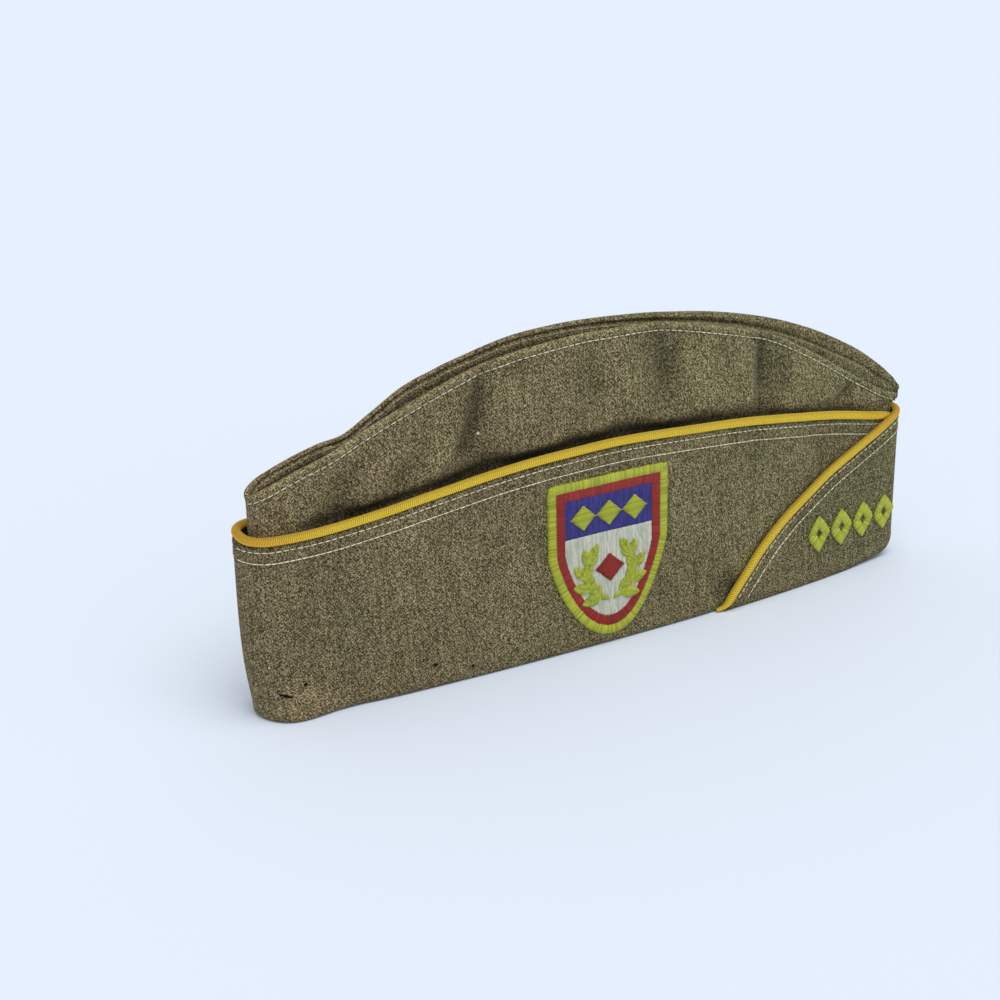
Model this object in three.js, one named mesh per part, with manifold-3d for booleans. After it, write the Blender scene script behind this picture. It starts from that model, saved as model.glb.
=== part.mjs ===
// A garrison cap: a flat folding cap of wool cloth, standing open on its bottom edge.
// Millimetres, +Z up, +X towards the wearer's front, -Y towards the wearer's right.
// The crown is two side panels with a folded pleat let in between their ridges. Round it stands
// the curtain, a turn-up in two lengths with corded edges. The left length goes round the front
// crease and laps over the right one, where its edge runs down in a slanting line.
import * as THREE from "three";
import { mergeVertices } from "three/addons/utils/BufferGeometryUtils.js";
import Module from "manifold-3d";

const wasm = await Module();
wasm.setup();

const cap = {
  length: 283, // outside, back end to front crease
  width: 32, // outside the curtain at the bottom edge, without the lap
  crownHeight: 120.4, // bottom edge to the highest ridge
  curtainHeight: 78, // cloth of the curtain where it is highest
  ridgeSpacing: 11, // between the two crown ridges
  pleatDepth: 20, // how far the pleat folds down between the ridges
};

const cloth = { crown: 1.1, curtain: 1.5, pleat: 1.1, gap: 0.3 };

const ends = {
  backRound: 9, // how far the curtain's back end takes to round off
  frontRound: 3.5,
  tipHalf: 1.1, // half the crown's width inside the front crease
  backTuck: 3.2, // how far the bottom edge stands inside the top edge at the back
  tuckPower: 4, // how near the bottom edge that happens
  crownInset: 3.2, // how far the crown's top stands in from the curtain's back end, past the walls
  overhang: 2.8, // how far the crown's left panel leans out over the curtain at the front
  overhangRise: 5, // over what height it leans out
};

const plan = {
  widest: 0.4, // where the cap is widest, as a share of its length from the back
  backShare: 0.68, // width near the back end, as a share of the greatest width
  ridgeBackShare: 0.8, // the same for the two ridges
  frontPower: 2.6, // how late the sides draw in towards the crease
  topShare: 0.9, // the curtain's width at its top edge, as a share of that at the bottom
  crownPower: 1.5, // how late, going up, the crown draws in towards its ridges
  ridgeTipShare: 0.8, // the ridges' width at the front, as a share of that at the bottom
};

const piping = { diameter: 3, sides: 8 };
const pipingSteps = { side: 40, lap: 18 };

const lap = {
  reach: 95, // from the front crease back to the foot of the slanting edge
  footHeight: 2.5, // the cut end of the lap's point
  underlapEnd: 9, // how far behind the crease the right curtain ends
};

const badge = {
  width: 50,
  height: 62,
  middle: -3, // forward of the cap's middle
  bottom: 4.5, // above the bottom edge
  shoulder: 0.44, // height of the straight sides, as a share of the height
  border: 2.6,
  band: 3.2,
  joint: 0.3, // gap between neighbouring fields of stitching
  pile: 0.9, // how thick the stitching stands
  chief: 15, // height of the blue field at the top
};

const figures = { count: 4, height: 15, width: 10.8, stroke: 2.5, pitch: 12, first: 96, middle: 20.5 };

// Heights along the cap, from the back end to the front crease, as shares of the heights above.
const curtainTop = [
  { along: 0.0, right: 0.85, left: 0.85 },
  { along: 0.07, right: 0.845, left: 0.845 },
  { along: 0.13, right: 0.86, left: 0.86 },
  { along: 0.25, right: 0.92, left: 0.92 },
  { along: 0.37, right: 0.975, left: 0.975 },
  { along: 0.5, right: 1.0, left: 1.0 },
  { along: 0.62, right: 0.98, left: 0.98 },
  { along: 0.75, right: 0.925, left: 0.925 },
  { along: 0.86, right: 0.852, left: 0.855 },
  { along: 0.94, right: 0.782, left: 0.81 },
  { along: 1.0, right: 0.735, left: 0.79 },
];
const ridges = [
  { along: 0.0, right: 0.655, left: 0.65 },
  { along: 0.03, right: 0.695, left: 0.682 },
  { along: 0.07, right: 0.73, left: 0.724 },
  { along: 0.12, right: 0.768, left: 0.762 },
  { along: 0.155, right: 0.803, left: 0.78 },
  { along: 0.19, right: 0.838, left: 0.827 },
  { along: 0.24, right: 0.882, left: 0.89 },
  { along: 0.32, right: 0.942, left: 0.956 },
  { along: 0.4, right: 0.972, left: 0.993 },
  { along: 0.49, right: 0.983, left: 1.0 },
  { along: 0.59, right: 0.972, left: 0.982 },
  { along: 0.69, right: 0.92, left: 0.946 },
  { along: 0.77, right: 0.862, left: 0.901 },
  { along: 0.85, right: 0.76, left: 0.833 },
  { along: 0.92, right: 0.655, left: 0.747 },
  { along: 0.96, right: 0.588, left: 0.695 },
  { along: 0.985, right: 0.552, left: 0.638 },
  { along: 1.0, right: 0.53, left: 0.565 },
];
// The slanting edge of the lap, from its foot to the crease, as shares of its reach and height.
const lapEdge = [
  { forward: 0.0, up: 0.0 },
  { forward: 0.07, up: 0.075 },
  { forward: 0.24, up: 0.335 },
  { forward: 0.35, up: 0.482 },
  { forward: 0.47, up: 0.6 },
  { forward: 0.59, up: 0.71 },
  { forward: 0.72, up: 0.805 },
  { forward: 0.86, up: 0.895 },
  { forward: 1.0, up: 1.0 },
];
// Soft hollows pressed into the crown: place and size as shares of the crown's length and height.
const dents = [
  { side: -1, along: 0.32, up: 0.8, long: 0.035, tall: 0.2, depth: 1.2 },
  { side: -1, along: 0.59, up: 0.88, long: 0.04, tall: 0.14, depth: 0.9 },
  { side: -1, along: 0.755, up: 0.8, long: 0.03, tall: 0.2, depth: 1.3 },
  { side: -1, along: 0.9, up: 0.86, long: 0.025, tall: 0.12, depth: 0.8 },
  { side: -1, along: 0.17, up: 0.76, long: 0.045, tall: 0.14, depth: 0.8 },
  { side: 1, along: 0.3, up: 0.8, long: 0.05, tall: 0.18, depth: 1.0 },
  { side: 1, along: 0.7, up: 0.82, long: 0.05, tall: 0.18, depth: 0.9 },
];

const columns = 44; // along one side
const backColumns = 6; // of those, round the back end
const frontColumns = 4; // and round the crease
const RIGHT = -1;
const LEFT = 1;

const colours = {
  wool: 0x5f5540,
  piping: 0xd9a81e,
  lemon: 0xd3cf2a,
  red: 0x9c1a14,
  ivory: 0xdcd9b8,
  blue: 0x2c2a86,
  leaf: 0xb9bd2c,
};
const finish = (color) => new THREE.MeshStandardMaterial({ color, roughness: 0.9, metalness: 0 });
const wool = finish(colours.wool);
const lemonThread = finish(colours.lemon);

// A smooth line through one column of a table.
function follow(table, key, column) {
  const slope = (i) => {
    const a = table[Math.max(i - 1, 0)];
    const b = table[Math.min(i + 1, table.length - 1)];
    return (b[column] - a[column]) / (b[key] - a[key]);
  };
  return (share) => {
    const at = THREE.MathUtils.clamp(share, 0, 1);
    let i = 0;
    while (i < table.length - 2 && table[i + 1][key] < at) i += 1;
    const span = table[i + 1][key] - table[i][key];
    const t = (at - table[i][key]) / span;
    const rise = 3 * t * t - 2 * t * t * t;
    const leave = (t - 2 * t * t + t * t * t) * span * slope(i);
    const arrive = (t * t * t - t * t) * span * slope(i + 1);
    return THREE.MathUtils.lerp(table[i][column], table[i + 1][column], rise) + leave + arrive;
  };
}
const curtainShare = {
  [RIGHT]: follow(curtainTop, "along", "right"),
  [LEFT]: follow(curtainTop, "along", "left"),
};
const ridgeShare = {
  [RIGHT]: follow(ridges, "along", "right"),
  [LEFT]: follow(ridges, "along", "left"),
};
const lapShare = follow(lapEdge, "forward", "up");

// A rail is half the outline of a wall seen from above, from the back end to the front crease.
function makeRail({ back, front, half, backHalf, tip, backRound, frontRound }) {
  const widest = THREE.MathUtils.lerp(back, front, plan.widest);
  const rounded = (distance, round) => {
    if (distance >= round) return 1;
    return Math.sqrt(1 - (1 - Math.max(distance, 0) / round) ** 2);
  };
  return {
    x(s) {
      const b = backColumns / columns;
      const f = frontColumns / columns;
      if (s < b) return back + backRound * (1 - Math.cos((s / b) * (Math.PI / 2)));
      if (s > 1 - f) return front - frontRound * (1 - Math.cos(((1 - s) / f) * (Math.PI / 2)));
      return THREE.MathUtils.lerp(back + backRound, front - frontRound, (s - b) / (1 - b - f));
    },
    half(x) {
      const t = x < widest ? (widest - x) / (widest - back) : (x - widest) / (front - widest);
      const full =
        x < widest
          ? THREE.MathUtils.lerp(half, backHalf, t * t)
          : THREE.MathUtils.lerp(half, tip, t ** plan.frontPower);
      return full * rounded(x - back, backRound) * rounded(front - x, frontRound);
    },
  };
}

// The curtain's rails run through the middle of its cloth, the crown's through its own.
const halfLength = cap.length / 2;
const wallStep = cloth.curtain / 2 + cloth.gap + cloth.crown / 2;
const curtainHalf = (cap.width - cloth.curtain) / 2;
const curtainEnd = halfLength - cloth.curtain / 2;
const curtainLow = makeRail({
  back: -curtainEnd + ends.backTuck,
  front: curtainEnd,
  half: curtainHalf,
  backHalf: curtainHalf * plan.backShare,
  tip: ends.tipHalf + wallStep,
  backRound: ends.backRound,
  frontRound: ends.frontRound + wallStep,
});
const curtainHigh = makeRail({
  back: -curtainEnd,
  front: curtainEnd,
  half: curtainHalf * plan.topShare,
  backHalf: curtainHalf * plan.backShare * plan.topShare,
  tip: ends.tipHalf + wallStep,
  backRound: ends.backRound,
  frontRound: ends.frontRound + wallStep,
});
const crownLow = makeRail({
  back: -curtainEnd + ends.backTuck + wallStep,
  front: curtainEnd - wallStep,
  half: curtainHalf - wallStep,
  backHalf: curtainHalf * plan.backShare - wallStep,
  tip: ends.tipHalf,
  backRound: ends.backRound - wallStep,
  frontRound: ends.frontRound,
});
const crownHigh = makeRail({
  back: -curtainEnd + wallStep + ends.crownInset,
  front: curtainEnd - wallStep,
  half: cap.ridgeSpacing / 2,
  backHalf: (cap.ridgeSpacing / 2) * plan.ridgeBackShare,
  tip: ends.tipHalf * plan.ridgeTipShare,
  backRound: ends.backRound - wallStep,
  frontRound: ends.frontRound,
});

const shareAlong = (x) => (x + halfLength) / cap.length;
const curtainHeightAt = (x, side) => cap.curtainHeight * curtainShare[side](shareAlong(x));

function lapHeightAt(x) {
  const forward = (x - (halfLength - lap.reach)) / lap.reach;
  return THREE.MathUtils.lerp(0, curtainHeightAt(halfLength, LEFT), lapShare(forward));
}

// A point in the middle of the curtain's cloth, lifted outwards by lift.
function curtainPoint(s, z, side, lift = 0) {
  const place = (t) => {
    const share = THREE.MathUtils.clamp(z / curtainHeightAt(curtainHigh.x(t), RIGHT), 0, 1);
    const lean = 1 - (1 - share) ** ends.tuckPower;
    const low = curtainLow.x(t);
    const high = curtainHigh.x(t);
    return new THREE.Vector2(
      THREE.MathUtils.lerp(low, high, lean),
      side * THREE.MathUtils.lerp(curtainLow.half(low), curtainHigh.half(high), share),
    );
  };
  const at = place(s);
  const out = outwards(place, s, side);
  return new THREE.Vector3(at.x + out.x * lift, at.y + out.y * lift, z);
}

// The outward direction, seen from above, of the line that place draws.
function outwards(place, s, side) {
  const step = 0.25 / columns;
  const before = place(Math.max(s - step, 0));
  const after = place(Math.min(s + step, 1));
  const along = after.sub(before).normalize();
  if (s <= 0) along.set(0, side);
  if (s >= 1) along.set(0, -side);
  return new THREE.Vector2(-along.y * side, along.x * side);
}

// How far the left crown panel leans forward over the curtain and its piping at the front end.
function overhangAt(s, z) {
  const clear = curtainHeightAt(halfLength, LEFT) + piping.diameter * 2;
  const forward = THREE.MathUtils.smoothstep(s, 1 - (2 * frontColumns) / columns, 1);
  return ends.overhang * forward * THREE.MathUtils.smoothstep(z, clear, clear + ends.overhangRise);
}

// A point in the middle of the crown's cloth, up being a share of the height of its ridge.
function crownPoint(s, up, side, lift = 0) {
  const place = (t) => {
    const low = crownLow.x(t);
    const high = crownHigh.x(t);
    return new THREE.Vector2(
      THREE.MathUtils.lerp(low, high, up),
      side * THREE.MathUtils.lerp(crownLow.half(low), crownHigh.half(high), up ** plan.crownPower),
    );
  };
  const at = place(s);
  const out = outwards(place, s, side);
  const along = shareAlong(at.x);
  let raised = lift;
  for (const dent of dents.filter((entry) => entry.side === side)) {
    const far = ((along - dent.along) / dent.long) ** 2 + ((up - dent.up) / dent.tall) ** 2;
    raised -= dent.depth * Math.exp(-far);
  }
  const height = cap.crownHeight * ridgeShare[side](shareAlong(crownHigh.x(s)));
  const point = new THREE.Vector3(at.x + out.x * raised, at.y + out.y * raised, up * height);
  if (side === LEFT) point.x += overhangAt(s, point.z);
  return point;
}

// A closed mesh from its corners and faces, with every face turned outwards.
function closedMesh(name, corners, faces, material) {
  const triangles = faces.flatMap((f) => (f.length === 4 ? [f[0], f[1], f[2], f[0], f[2], f[3]] : f));
  let volume = 0;
  for (let i = 0; i < triangles.length; i += 3) {
    const [a, b, c] = [0, 1, 2].map((k) => corners[triangles[i + k]]);
    volume += a.dot(b.clone().cross(c));
  }
  if (volume < 0) triangles.reverse();
  const geometry = new THREE.BufferGeometry().setFromPoints(corners);
  geometry.setIndex(triangles);
  geometry.computeVertexNormals();
  const mesh = new THREE.Mesh(geometry, material);
  mesh.name = name;
  return mesh;
}

// A wall of cloth: rows of corners on its outer and inner face, joined round the edges.
// corner(i, j, face) gives the corner of column i and row j, face being +1 outside and -1 inside.
function wall(name, columnCount, rowCount, corner, material) {
  const corners = [];
  const index = (i, j, face) => ((face > 0 ? 0 : 1) * (columnCount + 1) + i) * (rowCount + 1) + j;
  for (const face of [1, -1])
    for (let i = 0; i <= columnCount; i += 1)
      for (let j = 0; j <= rowCount; j += 1) corners.push(corner(i, j, face));
  const faces = [];
  for (let i = 0; i < columnCount; i += 1) {
    for (let j = 0; j < rowCount; j += 1) {
      faces.push([index(i, j, 1), index(i + 1, j, 1), index(i + 1, j + 1, 1), index(i, j + 1, 1)]);
      faces.push([index(i, j + 1, -1), index(i + 1, j + 1, -1), index(i + 1, j, -1), index(i, j, -1)]);
    }
    faces.push([index(i + 1, 0, 1), index(i, 0, 1), index(i, 0, -1), index(i + 1, 0, -1)]);
    const top = rowCount;
    faces.push([index(i, top, 1), index(i + 1, top, 1), index(i + 1, top, -1), index(i, top, -1)]);
  }
  for (let j = 0; j < rowCount; j += 1) {
    faces.push([index(0, j, 1), index(0, j + 1, 1), index(0, j + 1, -1), index(0, j, -1)]);
    const end = columnCount;
    faces.push([index(end, j + 1, 1), index(end, j, 1), index(end, j, -1), index(end, j + 1, -1)]);
  }
  return closedMesh(name, corners, faces, material);
}

const seam = (side) => side * (cloth.gap / 2); // the cloth stops short of the middle seams by half a gap
const offMiddle = (point, side, atSeam) => (atSeam ? point.setY(seam(side)) : point);

// One side panel of the crown, from the seam at the back to the seam at the front.
function crownPanel(name, side) {
  const rows = [0, 0.16, 0.36, 0.54, 0.69, 0.81, 0.91, 0.985, 1];
  const thin = (up) => (up === 1 ? 0.5 : 1); // the ridge is a fold, so its edge is rounded
  return wall(
    name,
    columns,
    rows.length - 1,
    (i, j, face) => {
      const up = rows[j];
      const point = crownPoint(i / columns, up, side, (face * thin(up) * cloth.crown) / 2);
      if (i === 0 || i === columns || point.y * side < seam(side) * side) point.setY(seam(side));
      return point;
    },
    wool,
  );
}

// The pleat: a strip folded down between the ridges, one leg against each crown panel. It reaches
// as far each way as the ridges leave room for it.
function crownPleat() {
  const legRows = 4;
  const foldPower = 1.6; // how late, going down, the legs draw together
  const legStep = cloth.crown / 2 + cloth.gap + cloth.pleat / 2;
  const roomAt = (i) => crownHigh.half(crownHigh.x(i / columns)) - legStep;
  const open = Array.from({ length: columns + 1 }, (unused, i) => i).filter((i) => roomAt(i) > cloth.pleat);
  const first = open[0];
  const last = open[open.length - 1];
  return wall(
    "crown_pleat",
    last - first,
    2 * legRows,
    (i, j, face) => {
      const s = (first + i) / columns;
      const side = j < legRows ? RIGHT : LEFT;
      const down = 1 - Math.abs(j - legRows) / legRows;
      const ridge = crownPoint(s, 1, side, -legStep);
      const room = roomAt(first + i);
      const depth = (cap.pleatDepth * room) / (cap.ridgeSpacing / 2 - legStep);
      const lowest = (crownPoint(s, 1, RIGHT).z + crownPoint(s, 1, LEFT).z) / 2 - depth;
      const z = THREE.MathUtils.lerp(ridge.z, lowest, down) + (face * cloth.pleat * down) / 2;
      const y = side * (room * (1 - down ** foldPower) - (face * cloth.pleat * (1 - down)) / 2);
      return new THREE.Vector3(ridge.x, y, z);
    },
    wool,
  );
}

const curtainRows = [0, 0.25, 0.5, 0.75, 0.97, 1];
const edgeThin = (row) => (row === 1 ? 0.6 : 1);
const edgeStep = piping.diameter / 2 + cloth.gap; // from the cloth's edge to the middle of its piping
const lapLift = cloth.curtain + cloth.gap;

// The station of a rail at which the curtain reaches x.
function stationAt(x) {
  let low = 0;
  let high = 1;
  for (let i = 0; i < 40; i += 1) {
    const middle = (low + high) / 2;
    if (curtainHigh.x(middle) < x) low = middle;
    else high = middle;
  }
  return (low + high) / 2;
}

// The right curtain ends under the lap, just behind the crease.
function curtainRight() {
  const end = stationAt(halfLength - lap.underlapEnd);
  const count = Math.round(end * columns);
  return wall(
    "curtain_right",
    count,
    curtainRows.length - 1,
    (i, j, face) => {
      const s = (i / count) * end;
      const z = curtainRows[j] * curtainHeightAt(curtainHigh.x(s), RIGHT);
      const point = curtainPoint(s, z, RIGHT, (face * edgeThin(curtainRows[j]) * cloth.curtain) / 2);
      return offMiddle(point, RIGHT, i === 0);
    },
    wool,
  );
}

// The left curtain goes from the back seam along the left side, round the crease and back along
// the right side, where it lies on the right curtain. turn counts 0 to 1 to the crease, then on.
const lapEndStation = stationAt(halfLength - lap.reach + lap.footHeight * 0.6);
const lapOnStation = stationAt(halfLength - lap.underlapEnd);
function lapPoint(turn, z, lift) {
  if (turn <= 1) return curtainPoint(turn, z, LEFT, lift);
  const s = 2 - turn;
  const onto = THREE.MathUtils.smoothstep(1 - s, 0, (1 - lapOnStation) * 0.85);
  return curtainPoint(s, z, RIGHT, lift + onto * lapLift);
}
function lapTop(turn) {
  if (turn <= 1) return curtainHeightAt(curtainHigh.x(turn), LEFT);
  return lapHeightAt(curtainHigh.x(2 - turn));
}
function curtainLeft() {
  const nearColumns = Math.round((1 - lapEndStation) * columns);
  const count = columns + nearColumns;
  return wall(
    "curtain_left",
    count,
    curtainRows.length - 1,
    (i, j, face) => {
      const turn = i <= columns ? i / columns : 1 + ((i - columns) / nearColumns) * (1 - lapEndStation);
      const z = curtainRows[j] * lapTop(turn);
      const point = lapPoint(turn, z, (face * edgeThin(curtainRows[j]) * cloth.curtain) / 2);
      return offMiddle(point, LEFT, i === 0);
    },
    wool,
  );
}

// A round cord through points, with flat ends.
function cordAlong(name, points) {
  const up = new THREE.Vector3(0, 0, 1);
  const corners = [];
  points.forEach((point, i) => {
    const before = points[Math.max(i - 1, 0)];
    const after = points[Math.min(i + 1, points.length - 1)];
    const along = after.clone().sub(before).normalize();
    const across = new THREE.Vector3().crossVectors(along, up).normalize();
    const over = new THREE.Vector3().crossVectors(across, along);
    for (let k = 0; k < piping.sides; k += 1) {
      const angle = ((k + 0.5) / piping.sides) * Math.PI * 2;
      const corner = point.clone().addScaledVector(across, (Math.cos(angle) * piping.diameter) / 2);
      corners.push(corner.addScaledVector(over, (Math.sin(angle) * piping.diameter) / 2));
    }
  });
  const at = (i, k) => i * piping.sides + (k % piping.sides);
  const last = points.length - 1;
  const faces = [];
  for (let k = 0; k < piping.sides; k += 1)
    for (let i = 0; i < last; i += 1) faces.push([at(i, k), at(i, k + 1), at(i + 1, k + 1), at(i + 1, k)]);
  for (let k = 1; k < piping.sides - 1; k += 1) {
    faces.push([at(0, 0), at(0, k + 1), at(0, k)]);
    faces.push([at(last, 0), at(last, k), at(last, k + 1)]);
  }
  return closedMesh(name, corners, faces, finish(colours.piping));
}

// Towards the crease the cord moves outwards, until its inner side is clear of the crown.
const proud = (piping.diameter - cloth.curtain) / 2 + cloth.gap;
const cordLift = (s) => proud * THREE.MathUtils.smoothstep(s, plan.widest, 1);

// The cord's first stretch runs straight out from the seam at the back, so that its end is square.
function seamStart(point, side) {
  const clear = point.clone().setY(seam(side));
  return [clear, clear.clone().setY(seam(side) * 5)];
}

function pipingRight() {
  const last = stationAt(halfLength - lap.underlapEnd - piping.diameter);
  const points = [];
  for (let i = 0; i <= pipingSteps.side; i += 1) {
    const s = (i / pipingSteps.side) * last;
    const height = curtainHeightAt(curtainHigh.x(s), RIGHT);
    const point = curtainPoint(s, height, RIGHT, cordLift(s));
    point.z = height + edgeStep;
    if (i === 0) points.push(...seamStart(point, RIGHT));
    else points.push(point);
  }
  return cordAlong("piping_right", points);
}

// The left piping follows the top edge to the crease and then the slanting edge down to its foot.
function pipingLeft() {
  const points = [];
  for (let i = 0; i <= pipingSteps.side; i += 1) {
    const turn = i / pipingSteps.side;
    const point = lapPoint(turn, lapTop(turn), cordLift(turn));
    point.z += edgeStep;
    if (i === 0) points.push(...seamStart(point, LEFT));
    else points.push(point);
  }
  for (let i = 1; i <= pipingSteps.lap; i += 1) {
    const turn = 1 + (i / pipingSteps.lap) * (1 - lapEndStation);
    const here = lapPoint(turn, lapTop(turn), proud);
    const step = 0.004;
    const before = lapPoint(turn - step, lapTop(turn - step), proud);
    const next = Math.min(turn + step, 2 - lapEndStation);
    const after = lapPoint(next, lapTop(next), proud);
    const run = after.sub(before).normalize();
    const across = new THREE.Vector3(run.z, 0, -run.x).normalize();
    if (across.z < 0) across.negate();
    points.push(here.addScaledVector(across, edgeStep));
  }
  return cordAlong("piping_left", points);
}

// Stitching lies on the right side. onCloth puts a flat point on the curtain or on the lap there.
function onCloth(x, z, height, onLap) {
  const s = stationAt(x);
  const face = cloth.curtain / 2 + cloth.gap + height;
  return curtainPoint(s, z, RIGHT, face + (onLap ? lapLift : 0));
}

// The line of a field, moved inwards by distance. The corners come in order, anticlockwise.
function insetOutline(outline, distance) {
  const count = outline.length;
  return outline.map((point, i) => {
    const before = point.clone().sub(outline[(i + count - 1) % count]).normalize();
    const after = outline[(i + 1) % count].clone().sub(point).normalize();
    const normal = new THREE.Vector2(-before.y - after.y, before.x + after.x).normalize();
    const miter = normal.dot(new THREE.Vector2(-before.y, before.x));
    return point.clone().addScaledVector(normal, distance / miter);
  });
}

// A band of stitching round a closed line, rounded on top.
function stitchedLoop(name, outline, width, material, centre, onLap) {
  const lanes = [0, 0.3, 0.7, 1];
  const crest = [0.55, 1, 1, 0.55];
  const loops = lanes.map((lane) => insetOutline(outline, lane * width));
  const corners = [];
  for (const level of ["foot", "crest"])
    loops.forEach((loop, lane) =>
      loop.forEach((p) => {
        const height = level === "foot" ? 0 : badge.pile * crest[lane];
        corners.push(onCloth(centre.x + p.x, centre.y + p.y, height, onLap));
      }),
    );
  const count = outline.length;
  const at = (level, lane, i) => (level * lanes.length + lane) * count + (i % count);
  const faces = [];
  for (let i = 0; i < count; i += 1) {
    for (let lane = 0; lane < lanes.length - 1; lane += 1) {
      faces.push([at(1, lane, i), at(1, lane, i + 1), at(1, lane + 1, i + 1), at(1, lane + 1, i)]);
      faces.push([at(0, lane + 1, i), at(0, lane + 1, i + 1), at(0, lane, i + 1), at(0, lane, i)]);
    }
    faces.push([at(0, 0, i), at(0, 0, i + 1), at(1, 0, i + 1), at(1, 0, i)]);
    const inner = lanes.length - 1;
    faces.push([at(1, inner, i), at(1, inner, i + 1), at(0, inner, i + 1), at(0, inner, i)]);
  }
  return closedMesh(name, corners, faces, material);
}

// A field of stitching between two lines, low(x) and high(x).
function stitchedField(name, half, low, high, columnCount, rowCount, base, material, centre) {
  return wall(
    name,
    columnCount,
    rowCount,
    (i, j, face) => {
      const x = THREE.MathUtils.lerp(-half, half, i / columnCount);
      const z = THREE.MathUtils.lerp(low(x), high(x), j / rowCount);
      return onCloth(centre.x + x, centre.y + z, base + (face > 0 ? badge.pile * 0.75 : 0), false);
    },
    material,
  );
}

// The badge is a plain shield. Half its width at a height above its point, both in its own frame.
const shieldShoulder = badge.height * (1 - badge.shoulder);
function shieldLow(x, inset) {
  const half = badge.width / 2 - inset;
  const share = Math.min(Math.abs(x) / half, 1);
  const depth = shieldShoulder - inset * 1.15;
  return shieldShoulder - depth * (1 - share ** 2.1) ** 0.8;
}
function shieldOutline(inset) {
  const half = badge.width / 2 - inset;
  const points = [];
  const steps = 24;
  for (let i = 0; i <= steps; i += 1) {
    const x = -half * Math.cos((i / steps) * Math.PI);
    points.push(new THREE.Vector2(x, shieldLow(x, inset)));
  }
  const top = badge.height - inset;
  const rise = [0.35, 0.7, 1];
  for (const r of rise) points.push(new THREE.Vector2(half, THREE.MathUtils.lerp(shieldShoulder, top, r)));
  for (const x of [0.5, 0, -0.5, -1]) points.push(new THREE.Vector2(x * half, top));
  for (const r of rise.slice(0, 2).reverse())
    points.push(new THREE.Vector2(-half, THREE.MathUtils.lerp(shieldShoulder, top, r)));
  return points;
}

const thread = {
  lemon: lemonThread,
  red: finish(colours.red),
  ivory: finish(colours.ivory),
  blue: finish(colours.blue),
  leaf: finish(colours.leaf),
};
const badgeFoot = new THREE.Vector2(badge.middle, badge.bottom);
const fieldInset = badge.border + badge.band + 2 * badge.joint;
const fieldHalf = badge.width / 2 - fieldInset;
const fieldTop = badge.height - fieldInset;
const chiefFoot = fieldTop - badge.chief;

function badgeGrounds() {
  const line = (z) => () => z;
  const bandOutline = shieldOutline(badge.border + badge.joint);
  return [
    stitchedLoop("badge_border", shieldOutline(0), badge.border, thread.lemon, badgeFoot, false),
    stitchedLoop("badge_band", bandOutline, badge.band, thread.red, badgeFoot, false),
    stitchedField(
      "badge_chief",
      fieldHalf,
      line(chiefFoot + badge.joint),
      line(fieldTop),
      10,
      3,
      0,
      thread.blue,
      badgeFoot,
    ),
    stitchedField(
      "badge_field",
      fieldHalf,
      (x) => Math.min(shieldLow(x, fieldInset), chiefFoot - 2),
      line(chiefFoot),
      20,
      6,
      0,
      thread.ivory,
      badgeFoot,
    ),
  ];
}

// A solid with its outline on a field of the badge and a raised middle, such as a leaf or a stud.
function stitchedPad(outline, middle, centre, base) {
  const corners = [
    ...outline.map((p) => onCloth(centre.x + p.x, centre.y + p.y, base, false)),
    ...outline.map((p) => onCloth(centre.x + p.x, centre.y + p.y, base + badge.pile * 0.45, false)),
    onCloth(centre.x + middle.x, centre.y + middle.y, base, false),
    onCloth(centre.x + middle.x, centre.y + middle.y, base + badge.pile, false),
  ];
  const count = outline.length;
  const faces = [];
  for (let i = 0; i < count; i += 1) {
    const next = (i + 1) % count;
    faces.push([i, next, count + next, count + i]);
    faces.push([next, i, 2 * count]);
    faces.push([count + i, count + next, 2 * count + 1]);
  }
  return { corners, faces };
}

const onField = badge.pile * 0.75 + cloth.gap; // the height at which motifs lie on the fields

function lozenge(width, height) {
  return [
    new THREE.Vector2(0, -height / 2),
    new THREE.Vector2(width / 2, 0),
    new THREE.Vector2(0, height / 2),
    new THREE.Vector2(-width / 2, 0),
  ];
}

function chiefStuds() {
  const count = 3;
  const pitch = (2 * fieldHalf) / (count + 0.4);
  return Array.from({ length: count }, (unused, i) => {
    const middle = new THREE.Vector2((i - (count - 1) / 2) * pitch, chiefFoot + badge.chief / 2);
    const outline = lozenge(7, 9.5).map((p) => p.add(middle));
    const { corners, faces } = stitchedPad(outline, middle, badgeFoot, onField);
    return closedMesh("chief_lozenge_" + (i + 1), corners, faces, thread.lemon);
  });
}

const toSolid = (mesh) => {
  const bare = new THREE.BufferGeometry().setAttribute("position", mesh.geometry.getAttribute("position"));
  bare.setIndex(mesh.geometry.index);
  const merged = mergeVertices(bare, 1e-4);
  return new wasm.Manifold(
    new wasm.Mesh({
      numProp: 3,
      vertProperties: merged.attributes.position.array,
      triVerts: new Uint32Array(merged.index.array),
    }),
  );
};

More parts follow.
